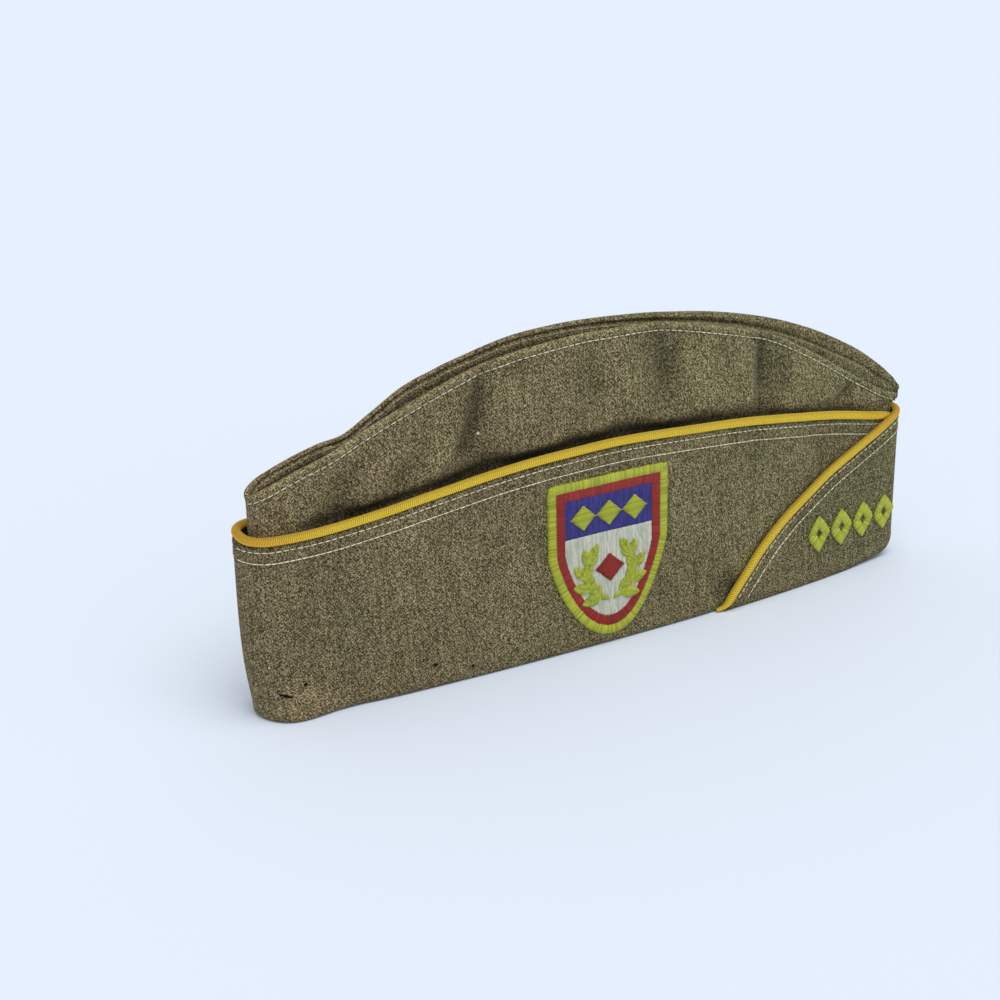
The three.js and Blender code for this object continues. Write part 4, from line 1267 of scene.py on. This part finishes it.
def curtainPaintedShade(s, z, top, side, onLap=False):
    x = curtainHigh.x(np.clip(s, 0, 1))
    # Painted shade where the cloth sinks and painted light where it stands out; the lap is painted a
    # little darker all over.
    sunken = -clothWave(x, z, side) * curtainPaintedShades["wave"]
    if onLap:
        sunken = sunken + curtainPaintedShades["lap"]
    elif side == right:
        turned = np.interp(z, leftEdge.high[::-1], leftEdge.turns[::-1])
        behind = curtainHigh.x(np.clip(2 - turned, 0, 1)) - x
        # Painted shadow beside the lap's edge and at the lap's foot.
        sunken = sunken + curtainPaintedShades["behindLap"] * bell(behind, 2.0, 1.8) * ease(x, 44, 52)
        sunken = sunken + curtainPaintedShades["lapFoot"] * bell(x, 52.5, 3.4) * bell(z, 10, 5)
    drop = top[:, None] - z
    # Painted shade under the cord at the top edge, along the stitching rows and along the bottom by the
    # floor.
    edges = curtainPaintedShades["edge"] * (1 - ease(drop, 0.2, 1.3))
    for row in curtain["stitchDrops"]:
        edges = edges + curtainPaintedShades["stitches"] * bell(drop, row, 0.6)
    return sunken + edges * ease(z, 3, 9) + curtainPaintedShades["fold"] * (1 - ease(z, 0.2, 2.2))


def makeCurtainRight():
    count = 285
    s = np.linspace(0, rightLast, count)
    top = curtainHeight(curtainHigh.x(s), right) + curtain["raise"]
    z, lift = curtainSections(top, np.zeros(count), np.ones(count))
    grid = curtainPoint(s[:, None], z, right, lift)
    grid[..., 1] = np.minimum(grid[..., 1], -ends["seam"])
    grid[0, :, 1] = -ends["seam"]
    paintedShade = curtainPaintedShade(s[:, None], z, top, right)
    place(clothShell("curtainRightCloth", grid, paintedShade), ["curtain_right"], "wool")


lapFoot = {"below": 2.2, "dip": 1.5, "pressed": 49.6, "free": 53}


# The corner at the lap's foot is pressed up, so none of it is below what the cap stands on.
def pressedFoot(grid, turn):
    x, z = grid[..., 0], grid[..., 2]
    low = np.clip(lapFoot["below"] - z, 0, None)
    share = (turn > 1) * (1 - ease(x, lapFoot["pressed"], lapFoot["free"]))
    return z + share * low * lapFoot["dip"] / (lapFoot["below"] + lapFoot["dip"])


def makeCurtainLeft():
    turn = np.concatenate([np.linspace(0, 0.9, 250, endpoint=False), np.linspace(0.9, leftLast, 170)])
    top = np.interp(turn, leftEdge.turns, leftEdge.high) + curtain["raise"]
    slope = np.interp(turn, leftEdge.turns, leftEdge.slope)
    wrap = 1 - ease(turn, 1.0, 2 - lapOn)
    z, lift = curtainSections(top, slope, wrap)
    grid = lapPoint(turn[:, None], z, lift)
    onLeft = (turn <= 1)[:, None]
    grid[..., 1] = np.where(onLeft, np.maximum(grid[..., 1], 0), np.minimum(grid[..., 1], 0))
    atBack = (turn < 0.5)[:, None]
    grid[..., 1] = np.where(atBack, np.maximum(grid[..., 1], ends["seam"]), grid[..., 1])
    grid[0, :, 1] = ends["seam"]
    grid[..., 2] = pressedFoot(grid, turn[:, None])
    lapPaintedShade = curtainPaintedShade(2 - turn[:, None], z, top, right, True)
    paintedShade = np.where(onLeft, curtainPaintedShade(turn[:, None], z, top, left), lapPaintedShade)
    place(clothShell("curtainLeftCloth", grid, paintedShade), ["curtain_left"], "wool")


makeCurtainRight()
makeCurtainLeft()
print("curtain made")

edging = {
    "step": 1.8,
    "proud": 1.05,
    "points": 420,
    "atBack": 0.9,
    "atCrease": 2.8,
    "creasePart": 0.055,
    "smoothing": 6,
    "rightEnd": 6.5,  # from the front crease to the right cord's end
    "underLap": (13, 7),  # from the crease, where the right cord goes in under the lap
    "tuckedLift": 0.15,
    "tuckedThinner": 0.32,
    "endY": 0.02,
    "footAbove": 4.2,
    "footThinner": 0.55,
    "footPart": 9,
    "tail": [(-1.2, 0.2, -2.2), (-2.8, 0.7, -3.2), (-5.2, 1.2, -3.5)],
}
# Where the left cord is pinched at the crease: points behind it, width in points and depth.
pinches = [(0, 6, 0.14), (2.5, 2.5, 0.4)]


# How far the cord stands out past the cloth's middle. It hugs the back end and the front crease.
def cordLift(turn):
    lift = edging["proud"] * ease(turn, plan["widest"], 1) - edging["atBack"] * (1 - ease(turn, 0, 0.07))
    return lift - edging["atCrease"] * bell(turn, 1, edging["creasePart"])


def makeCord(name, line, girth, node):
    edges = [(i, i + 1) for i in range(len(line) - 1)]
    mesh = bpy.data.meshes.new(name)
    mesh.from_pydata((line + rowShift) * 0.001, edges, [])
    mesh.attributes.new("girth", "FLOAT", "POINT").data.foreach_set("value", girth.astype(np.float32))
    obj = bpy.data.objects.new(name, mesh)
    bpy.context.scene.collection.objects.link(obj)
    runTree(obj, wrapping, {
        "Rib Pitch": cord["ribPitch"],
        "Rib Depth": cord["ribDepth"],
        "Twist": cord["twist"],
        "Sides": cord["sides"],
        "Step": cord["step"],
        "Material": materials["cord"],
    })
    place(obj, [node], "gold_cord")


def evenly(line, count, rounds):
    for _ in range(rounds):
        inside = (line[:-2] + line[1:-1] * 2 + line[2:]) / 4
        line = np.concatenate([line[:1], inside, line[-1:]])
    far = distances(line)
    at = np.linspace(0, far[-1], count)
    return np.stack([np.interp(at, far, line[:, k]) for k in range(3)], 1)


def makeRightCord():
    count = edging["points"]
    s = np.linspace(0, stationAt(halfLength - edging["rightEnd"]), count)
    x = curtainHigh.x(s)
    top = curtainHeight(x, right)
    under = ease(x, *(halfLength - far for far in edging["underLap"]))
    line = curtainPoint(s, top, right, blend(cordLift(s), edging["tuckedLift"], under))
    line[:, 2] = top + edging["step"]
    line[0, 1] = -edging["endY"]
    line = evenly(line, count, edging["smoothing"])
    girth = cord["radius"] * (1 - edging["tuckedThinner"] * under)
    makeCord("pipingRightCord", line, girth, "piping_right")


def makeLeftCord():
    count = edging["points"]
    far, high = leftEdge.offset(edging["step"])
    turn = leftEdge.turnAt(far)
    line = lapPoint(turn, high, cordLift(turn))
    line[0, 1] = edging["endY"]
    line = line[line[:, 2] > edging["footAbove"]]
    line = np.concatenate([line, line[-1] + edging["tail"]])
    line = evenly(evenly(line, count, 0), count, edging["smoothing"])
    near = np.arange(count)
    thinner = edging["footThinner"] * ease(near, count - edging["footPart"], count - 1)
    crease = np.argmax(line[:, 0])
    pinched = sum(depth * bell(near, crease - behind, wide) for behind, wide, depth in pinches)
    makeCord("pipingLeftCord", line, cord["radius"] * (1 - thinner) * (1 - pinched), "piping_left")


makeRightCord()
makeLeftCord()
print("cords made")


strandShape = {"arch": 0.4, "dip": 0.3, "taper": 0.6, "loose": 0.05}


# Strands are kept as starts, stops, facings and widths, and sewn by the tree.
class Sewing:
    def __init__(self):
        self.starts, self.stops, self.facings, self.widths = [], [], [], []

    def add(self, starts, stops, facings, width):
        self.starts.append(starts)
        self.stops.append(stops)
        self.facings.append(facings)
        self.widths.append(np.full(len(starts), width))

    def make(self, name, thread, nodes=(), padding=None, **shape):
        starts, stops = np.concatenate(self.starts), np.concatenate(self.stops)
        facings, widths = np.concatenate(self.facings), np.concatenate(self.widths)
        points, faces = padding if padding else (np.zeros((0, 3)), [])
        blank, many = len(points), len(starts)
        runs = stops - starts
        reach = np.linalg.norm(runs, axis=1)
        fields = {
            "sewn": np.concatenate([np.zeros(blank), np.ones(many)]),
            "reach": np.concatenate([np.zeros(blank), reach * 0.001]),
            "wide": np.concatenate([np.zeros(blank), widths * 0.001]),
            "run": np.concatenate([np.zeros((blank, 3)), runs / reach[:, None]]),
            "face": np.concatenate([np.zeros((blank, 3)), facings]),
        }
        everything = np.concatenate([points, (starts + stops) / 2])
        obj = newObject(name, everything, facingOut(points, faces), fields)
        values = {"Sides": 5, "Seed": len(name), "Material": materials[thread]}
        for label, value in (strandShape | shape).items():
            values[label.capitalize()] = value
        runTree(obj, sewing, values)
        place(obj, list(nodes), threadSlots[thread])


# Even running stitches along a line of points on the cloth, each with the way the cloth faces.
def runningStitches(line, facing, pitch, share):
    far = distances(line)
    first = np.arange(pitch * 0.3, far[-1] - pitch, pitch)

    def at(where, values):
        return np.stack([np.interp(where, far, values[:, k]) for k in range(3)], 1)

    return at(first, line), at(first + pitch * share, line), at(first + pitch * share / 2, facing)


topstitch = {
    "crown": {"pitch": 2.6, "share": 0.6, "thread": 0.44},
    "pleat": {"pitch": 2.6, "share": 0.6, "thread": 0.4},
    "upper": {"pitch": 2.5, "share": 0.58, "thread": 0.42},
    "lower": {"pitch": 2.2, "share": 0.68, "thread": 0.42},
    "raise": 0.06,
    "least": 1.2,  # millimetres from the bottom edge
    "clear": 1.0,  # from the ends of a curtain
    "shape": {"arch": 0.35, "dip": 0.45},
}


def sewLine(work, row, pointAt):
    row = topstitch[row]
    line, beyond = pointAt(topstitch["raise"]), pointAt(topstitch["raise"] + 1)
    work.add(*runningStitches(line, beyond - line, row["pitch"], row["share"]), row["thread"])


def makeTopstitching():
    work = Sewing()
    s = np.linspace(0.004, 0.996, 2500)
    for side in (right, left):
        z = ridgeHeight(s, side) - crown["stitchDrop"]
        sewLine(work, "crown", lambda lift: crownPoint(s, z, side, halfCrown - 0.05 + lift))
    work.make("crownTopstitching", "cream", **topstitch["shape"])
    work = Sewing()
    inner = s[crownHigh.y(crownHigh.x(s)) > 2.2]
    for side in (right, left):
        z = ridgeHeight(inner, side) - pleatSeam(inner) - 1.1
        sewLine(work, "pleat", lambda lift: pleatLeg(inner, z, side, lift))
    work.make("pleatTopstitching", "tan", **topstitch["shape"])
    work = Sewing()
    for row, drop in zip(("upper", "lower"), curtain["stitchDrops"]):
        for edge, pointAt in ((rightEdge, rightPoint), (leftEdge, lapPoint)):
            far, high = edge.offset(curtain["raise"] - drop)
            clear = topstitch["clear"]
            keep = (high > topstitch["least"]) & (far > clear) & (far < edge.far[-1] - clear)
            turn = edge.turnAt(far[keep])
            z = high[keep]
            sewLine(work, row, lambda lift: pointAt(turn, z, halfCurtain + topstitch["raise"] + lift))
    work.make("curtainTopstitching", "cream", **topstitch["shape"])


def facingOut(points, faces):
    volume = 0.0
    for face in faces:
        for k in range(1, len(face) - 1):
            volume += np.dot(points[face[0]], np.cross(points[face[k]], points[face[k + 1]]))
    return faces if volume > 0 else [face[::-1] for face in faces]


makeTopstitching()
print("topstitching made")

badge = {
    "width": 50.0,
    "height": 62.0,
    "middle": -3.0,
    "bottom": 4.5,
    "shoulder": 0.44,
    "border": 2.6,
    "band": 3.2,
    "joint": 0.3,
    "pile": 0.9,
    "chief": 15.0,
}
satin = {"pitch": 0.4, "thread": 0.5, "fill": 4.2, "sunk": 0.12, "lanes": 7, "mitredFrom": 0.87}
ground = {"columns": 48, "rows": 14, "edge": 0.45, "middle": 0.55, "stagger": 0.37, "shortest": 0.8}


# A point of the needlework: x and z on the flat cloth, and the height above it.
def onCloth(x, z, height, onLap=False):
    x, z, height = np.broadcast_arrays(*(np.asarray(v, float) for v in (x, z, height)))
    lift = halfCurtain + height + (lap["lift"] if onLap else 0)
    return curtainPoint(stationAt(x), z, right, lift)


def facingAt(x, z, onLap=False):
    return onCloth(x, z, 1.0, onLap) - onCloth(x, z, 0.0, onLap)


def sewBetween(work, a, b, height, onLap=False, width=None):
    starts, stops = (onCloth(*end.T, height, onLap) for end in (a, b))
    work.add(starts, stops, facingAt(*((a + b) / 2).T, onLap), width or satin["thread"])


def shieldLow(x, inset):
    half = badge["width"] / 2 - inset
    shoulder = badge["height"] * (1 - badge["shoulder"])
    share = np.minimum(np.abs(x) / half, 1)
    return shoulder - (shoulder - inset * 1.15) * (1 - share**2.1) ** 0.8


def shieldOutline(inset):
    half = badge["width"] / 2 - inset
    shoulder, top = badge["height"] * (1 - badge["shoulder"]), badge["height"] - inset
    x = -half * np.cos(np.linspace(0, math.pi, 61))
    low = np.stack([x, shieldLow(x, inset)], 1)
    rise = np.linspace(shoulder, top, 14)[1:]
    across = np.linspace(half, -half, 22)[1:]
    fall = np.linspace(top, shoulder, 14)[1:-1]
    return np.concatenate([
        low,
        np.stack([np.full_like(rise, half), rise], 1),
        np.stack([across, np.full_like(across, top)], 1),
        np.stack([np.full_like(fall, -half), fall], 1),
    ])


def insetOutline(outline, distance):
    before = outline - np.roll(outline, 1, 0)
    after = np.roll(outline, -1, 0) - outline
    before /= np.linalg.norm(before, axis=1)[:, None]
    after /= np.linalg.norm(after, axis=1)[:, None]
    normal = np.stack([-before[:, 1] - after[:, 1], before[:, 0] + after[:, 0]], 1)
    normal /= np.linalg.norm(normal, axis=1)[:, None]
    mitre = np.maximum((normal * np.stack([-before[:, 1], before[:, 0]], 1)).sum(1), 0.3)
    return outline + normal * (distance / mitre)[:, None]


# A padded band of satin stitching round a closed outline.
def satinLoop(name, outline, width, centre, thread, node, onLap=False):
    lanes = np.linspace(0, 1, satin["lanes"])
    crest = 0.35 + 0.4 * np.sin(lanes * math.pi) ** 0.7
    loops = [insetOutline(outline, lane * width) + centre for lane in lanes]
    count = len(outline)
    points = [onCloth(*loop.T, -satin["sunk"], onLap) for loop in (loops[0], loops[-1])]
    points += [onCloth(*loop.T, badge["pile"] * c, onLap) for loop, c in zip(loops, crest)]
    order = [0] + list(range(2, satin["lanes"] + 2)) + [1]
    faces = []
    for a, b in zip(order, order[1:] + order[:1]):
        for i in range(count):
            j = (i + 1) % count
            faces.append([a * count + i, a * count + j, b * count + j, b * count + i])
    work = Sewing()
    starts, stops = satinStrands(outline, width)
    sewBetween(work, starts + centre, stops + centre, badge["pile"] * 0.42, onLap)
    padding = (np.concatenate(points), faces)
    work.make(name, thread, [node], padding, arch=0.8, dip=0.25, loose=0.07)


# Strands straight across a band inside an outline, cut to a mitre at its sharp corners.
def satinStrands(outline, width):
    edges = np.roll(outline, -1, 0) - outline
    size = np.linalg.norm(edges, axis=1)
    edges = edges / size[:, None]
    far = np.concatenate([[0], np.cumsum(size)])
    bend = (edges * np.roll(edges, 1, 0)).sum(1)
    corners = np.flatnonzero(bend < satin["mitredFrom"])
    at = np.arange(satin["pitch"] / 2, far[-1], satin["pitch"])
    side = np.searchsorted(far, at) - 1
    start = outline[side] + edges[side] * (at - far[side])[:, None]
    normal = np.stack([-edges[side][:, 1], edges[side][:, 0]], 1)
    if not len(corners):
        normal = normal + np.stack([-edges[side - 1][:, 1], edges[side - 1][:, 0]], 1)
    reach = np.full(len(at), width)
    for corner in corners:
        inside = math.pi - math.acos(np.clip(bend[corner], -1, 1))
        gap = np.abs(at - far[corner])
        gap = np.minimum(gap, far[-1] - gap)
        reach = np.minimum(reach, gap * math.tan(inside / 2) + 0.12)
    normal /= np.linalg.norm(normal, axis=1)[:, None]
    return start - normal * 0.1, start + normal * (reach + 0.1)[:, None]


badgeFoot = np.array([badge["middle"], badge["bottom"]])
fieldInset = badge["border"] + badge["band"] + 2 * badge["joint"]
fieldHalf = badge["width"] / 2 - fieldInset
fieldTop = badge["height"] - fieldInset
chiefFoot = fieldTop - badge["chief"]
motifHeight = badge["pile"] * 0.75


# The padding of a ground between two lines: a closed slab of points and faces.
def groundPadding(low, high):
    columns, rows = ground["columns"], ground["rows"]
    x = np.linspace(-fieldHalf, fieldHalf, columns)
    bottom, top = low(x), high(x)
    grid = []
    for face in (0, 1):
        for j in range(rows):
            z = blend(bottom, top, j / (rows - 1))
            share = ground["middle"] if 0 < j < rows - 1 else ground["edge"]
            lift = badge["pile"] * share if face else -satin["sunk"]
            grid.append(onCloth(x + badgeFoot[0], z + badgeFoot[1], lift))
    faces = []

    def at(face, j, i):
        return (face * rows + j) * columns + i

    for j in range(rows - 1):
        for i in range(columns - 1):
            faces.append([at(1, j, i), at(1, j, i + 1), at(1, j + 1, i + 1), at(1, j + 1, i)])
            faces.append([at(0, j + 1, i), at(0, j + 1, i + 1), at(0, j, i + 1), at(0, j, i)])
        for i, turn in ((0, 1), (columns - 1, -1)):
            faces.append([at(0, j, i), at(1, j, i), at(1, j + 1, i), at(0, j + 1, i)][::turn])
    for i in range(columns - 1):
        for j, turn in ((0, 1), (rows - 1, -1)):
            faces.append([at(0, j, i + 1), at(1, j, i + 1), at(1, j, i), at(0, j, i)][::turn])
    return np.concatenate(grid), faces


# A ground of fill stitches in upright rows between two lines.
def fillField(name, low, high, thread, node, shift):
    work = Sewing()
    starts, stops = [], []
    fill, least = satin["fill"], ground["shortest"]
    for k, x in enumerate(np.arange(-fieldHalf + 0.1, fieldHalf, satin["pitch"])):
        z, end = float(low(np.array([x]))[0]) - 0.1, float(high(np.array([x]))[0]) + 0.1
        first = z - (k * ground["stagger"] + shift) % 1 * fill
        cuts = [z] + [c for c in np.arange(first, end, fill) if z + least < c < end - least] + [end]
        for a, b in zip(cuts[:-1], cuts[1:]):
            starts.append((x, a - 0.05))
            stops.append((x, b + 0.05))
    starts, stops = np.array(starts) + badgeFoot, np.array(stops) + badgeFoot
    sewBetween(work, starts, stops, badge["pile"] * 0.6)
    work.make(name, thread, [node], groundPadding(low, high), arch=0.22, dip=0.22, taper=0.7, loose=0.04)


def levelLine(height):
    return lambda x: np.full_like(x, height)


def fieldLow(x):
    return np.minimum(shieldLow(x, fieldInset), chiefFoot - 2)


def makeBadgeGrounds():
    satinLoop("badgeBorderThread", shieldOutline(0), badge["border"], badgeFoot, "lemon", "badge_border")
    band = shieldOutline(badge["border"] + badge["joint"])
    satinLoop("badgeBandThread", band, badge["band"], badgeFoot, "red", "badge_band")
    chiefLow = levelLine(chiefFoot + badge["joint"])
    fillField("badgeChiefThread", chiefLow, levelLine(fieldTop), "blue", "badge_chief", 0.0)
    fillField("badgeFieldThread", fieldLow, levelLine(chiefFoot), "ivory", "badge_field", 0.5)


# A raised pad with its outline on the ground and its middle higher.
def padOn(outline, base, height):
    middle = outline.mean(0)
    rings = [
        (1.0, base - 0.15),
        (1.0, base + height * 0.35),
        (0.72, base + height * 0.75),
        (0.4, base + height),
    ]
    points = [onCloth(*((middle + (outline - middle) * share).T), lift) for share, lift in rings]
    points.append(onCloth(middle[0], middle[1], base - 0.15)[None])
    points.append(onCloth(middle[0], middle[1], base + height * 1.05)[None])
    count = len(outline)
    faces = []
    for i in range(count):
        j = (i + 1) % count
        for r in range(len(rings) - 1):
            faces.append([r * count + i, r * count + j, (r + 1) * count + j, (r + 1) * count + i])
        faces.append([j, i, 4 * count])
        faces.append([3 * count + i, 3 * count + j, 4 * count + 1])
    return np.concatenate(points), faces


def joinPads(pads):
    points, faces, start = [], [], 0
    for padPoints, padFaces in pads:
        points.append(padPoints)
        faces += [[i + start for i in face] for face in facingOut(padPoints, padFaces)]
        start += len(padPoints)
    return np.concatenate(points), faces


def lozengeOutline(width, height, points):
    corners = np.array([(0, -0.5), (0.5, 0), (0, 0.5), (-0.5, 0)]) * (width, height)
    share = np.linspace(0, 1, points)[:-1, None]
    return np.concatenate([blend(a, b, share) for a, b in zip(corners, np.roll(corners, -1, 0))])


# A solid lozenge in level satin stitches, with a dip down its middle line.
def satinLozenge(name, width, height, centre, thread, node):
    pad = padOn(lozengeOutline(width, height, 7) + centre, motifHeight, 0.45)
    z = np.arange(-height / 2 + 0.3, height / 2 - 0.2, satin["pitch"])
    half = width / 2 * (1 - np.abs(z) / (height / 2)) + 0.12
    work = Sewing()
    starts, stops = np.stack([-half, z], 1), np.stack([half, z], 1)
    sewBetween(work, starts + centre, stops + centre, motifHeight + 0.28)
    work.make(name, thread, [node], pad, arch=0.7)


wreath = {
    "radius": 10.5,
    "raised": 1,  # its middle, above the middle of the field
    "from": -82,
    "to": 38,
    "stemHalf": 0.55,
    "stemStrand": 0.75,
    "stemSlant": 3,
    "leafLength": 8.2,
    "leafWidth": 3.6,
    "pairs": 4,
    "pairsFrom": 16,  # degrees in from the stem's ends
    "pairsTo": 14,
    "outerLean": 55,
    "innerLean": 128,
    "innerSize": 0.82,
    "shrink": 0.08,  # from one pair to the next
    "tipLean": 90,
    "tipSize": 0.8,
}
fieldMiddle = (chiefFoot + float(shieldLow(0.0, fieldInset))) / 2


def makeSprig(name, side, node):
    work, pads = Sewing(), []
    middle = badgeFoot + (0, fieldMiddle + wreath["raised"])

    def onArc(degrees, radius):
        angle = np.radians(degrees)
        return np.stack([side * radius * np.cos(angle), radius * np.sin(angle)], -1) + middle

    def stem():
        steps = np.linspace(wreath["from"], wreath["to"], 40)
        edges = [
            onArc(steps, wreath["radius"] + half)
            for half in (wreath["stemHalf"], -wreath["stemHalf"])
        ]
        outline = np.concatenate([edges[0], edges[1][::-1]])
        low, high = (onCloth(*outline.T, motifHeight + lift) for lift in (-0.15, 0.25))
        count = len(outline)
        faces = [[i, (i + 1) % count, count + (i + 1) % count, count + i] for i in range(count)]
        for i in range(len(steps) - 1):
            a, b, c, d = i, i + 1, count - 2 - i, count - 1 - i
            faces += [[d, c, b, a], [count + a, count + b, count + c, count + d]]
        pads.append((np.concatenate([low, high]), faces))
        span = math.radians(wreath["to"] - wreath["from"]) * wreath["radius"]
        walk = np.linspace(wreath["from"], wreath["to"], int(span / satin["pitch"]))
        half, slant = wreath["stemStrand"], wreath["stemSlant"]
        starts = onArc(walk - slant, wreath["radius"] + half)
        stops = onArc(walk + slant, wreath["radius"] - half)
        sewBetween(work, starts, stops, motifHeight + 0.3, width=0.42)

    def leaf(degrees, lean, size):
        root, angle = onArc(degrees, wreath["radius"]), math.radians(degrees + lean)
        along = np.array([side * math.cos(angle), math.sin(angle)])
        across = np.array([-along[1], along[0]])
        long, half = wreath["leafLength"] * size, wreath["leafWidth"] * size / 2

        def spot(a, b):
            return root + np.outer(a * long, along) + np.outer(b * half, across)

        def width(a):
            return np.sin(math.pi * np.clip(a, 0, 1) ** 0.85) ** 0.8

        a = np.linspace(0, 1, 11)
        outline = np.concatenate([spot(a, width(a)), spot(a[-2:0:-1], -width(a[-2:0:-1]))])
        pads.append(padOn(outline, motifHeight, 0.35))
        rows = np.arange(0.04, 0.97, satin["pitch"] / long)
        roots, tips = np.clip(rows - 0.02, 0, 1), np.clip(rows + 0.13, 0, 0.99)
        for edge in (1, -1):
            starts = spot(roots, 0.02 * edge * np.ones_like(rows))
            stops = spot(tips, edge * (width(tips) * 1.05 + 0.05))
            sewBetween(work, starts, stops, motifHeight + 0.28, width=0.45)

    stem()
    first, last = wreath["from"] + wreath["pairsFrom"], wreath["to"] - wreath["pairsTo"]
    for i in range(wreath["pairs"]):
        at = blend(first, last, i / (wreath["pairs"] - 1))
        size = 1 - wreath["shrink"] * i
        leaf(at, wreath["outerLean"], size)
        leaf(at, wreath["innerLean"], size * wreath["innerSize"])
    leaf(wreath["to"] - 2, wreath["tipLean"], wreath["tipSize"])
    work.make(name, "leaf", [node], joinPads(pads), arch=0.5)


lozenges = {"raised": 2.5, "field": (8, 11), "chief": (7, 9.5), "count": 3, "spread": 3.4}


def makeLozenges():
    centre = badgeFoot + (0, fieldMiddle + lozenges["raised"])
    satinLozenge("badgeLozengeThread", *lozenges["field"], centre, "red", "badge_lozenge")
    pitch = 2 * fieldHalf / lozenges["spread"]
    for number in range(1, lozenges["count"] + 1):
        centre = badgeFoot + ((number - 2) * pitch, chiefFoot + badge["chief"] / 2)
        name, node = "chiefLozenge%dThread" % number, "chief_lozenge_%d" % number
        satinLozenge(name, *lozenges["chief"], centre, "lemon", node)


makeBadgeGrounds()
makeSprig("badgeSprigFrontThread", 1, "badge_sprig_front")
makeSprig("badgeSprigBackThread", -1, "badge_sprig_back")
makeLozenges()
print("badge made")

figures = {
    "count": 4,
    "height": 15.0,
    "width": 10.8,
    "stroke": 2.5,
    "pitch": 12.0,
    "first": 96.0,
    "middle": 20.5,
}


def makeFigures():
    outline = lozengeOutline(figures["width"], figures["height"], 13)
    for number in range(figures["count"]):
        centre = np.array([figures["first"] + number * figures["pitch"], figures["middle"]])
        name, node = "figure%dThread" % (number + 1), "figure_%d" % (number + 1)
        satinLoop(name, outline, figures["stroke"], centre, "lemon", node, onLap=True)


makeFigures()
print("figures made")

stage = {
    "size": 60.0,
    "under": 0.0001,
    "floor": (0.61, 0.663, 0.75, 1),
    "grain": (0.5, 0.55, 0.63, 1),
    "grainShare": 0.06,
    "bump": 0.1,
    "relief": 0.0002,
    "roughness": 0.85,
    "gloss": 0.2,
    "sheen": 0.0,
    "sheenRoughness": 0.5,
    "sheenTint": (1, 1, 1, 1),
    "world": (0.92, 0.96, 1.0, 1),
    "worldLight": 0.75,
}


def makeStage():
    mesh = bpy.data.meshes.new("floor")
    corners = [(x * stage["size"], y * stage["size"], 0) for x, y in ((-1, -1), (1, -1), (1, 1), (-1, 1))]
    mesh.from_pydata(corners, [], [(0, 1, 2, 3)])
    floor = bpy.data.objects.new("floor", mesh)
    floor.location.z = -stage["under"]
    bpy.context.scene.collection.objects.link(floor)
    material, tree, placed = startMaterial("paleFloor")
    grain = noise(tree, placed, 900.0)
    share = maths(tree, "MULTIPLY", grain, stage["grainShare"])
    finishMaterial(tree, mixColours(tree, share, stage["floor"], stage["grain"]), grain, stage)
    mesh.materials.append(material)
    world = bpy.data.worlds.new("studio")
    world.use_nodes = True
    backdrop = world.node_tree.nodes["Background"]
    backdrop.inputs[0].default_value = stage["world"]
    backdrop.inputs[1].default_value = stage["worldLight"]
    bpy.context.scene.world = world


# turn is the lamp's bearing from straight in front of the cap, towards the wearer's front.
lamp = {
    "name": "keyLight",
    "turn": 6,
    "rise": 71,
    "spread": 50,
    "strength": 2.05,
    "colour": (1.0, 0.985, 0.96),
}


def makeLamp():
    data = bpy.data.lights.new(lamp["name"], "SUN")
    data.angle = math.radians(lamp["spread"])
    data.energy = lamp["strength"]
    data.color = lamp["colour"]
    obj = bpy.data.objects.new(lamp["name"], data)
    turn, rise = math.radians(lamp["turn"]), math.radians(lamp["rise"])
    level = math.cos(rise)
    towards = Vector((math.sin(turn) * level, -math.cos(turn) * level, math.sin(rise)))
    obj.rotation_mode = "QUATERNION"
    obj.rotation_quaternion = towards.to_track_quat("Z", "Y")
    obj.location = towards
    bpy.context.scene.collection.objects.link(obj)


makeStage()
makeLamp()
bpy.context.scene.view_settings.view_transform = "Standard"
print("stage and lamps made")
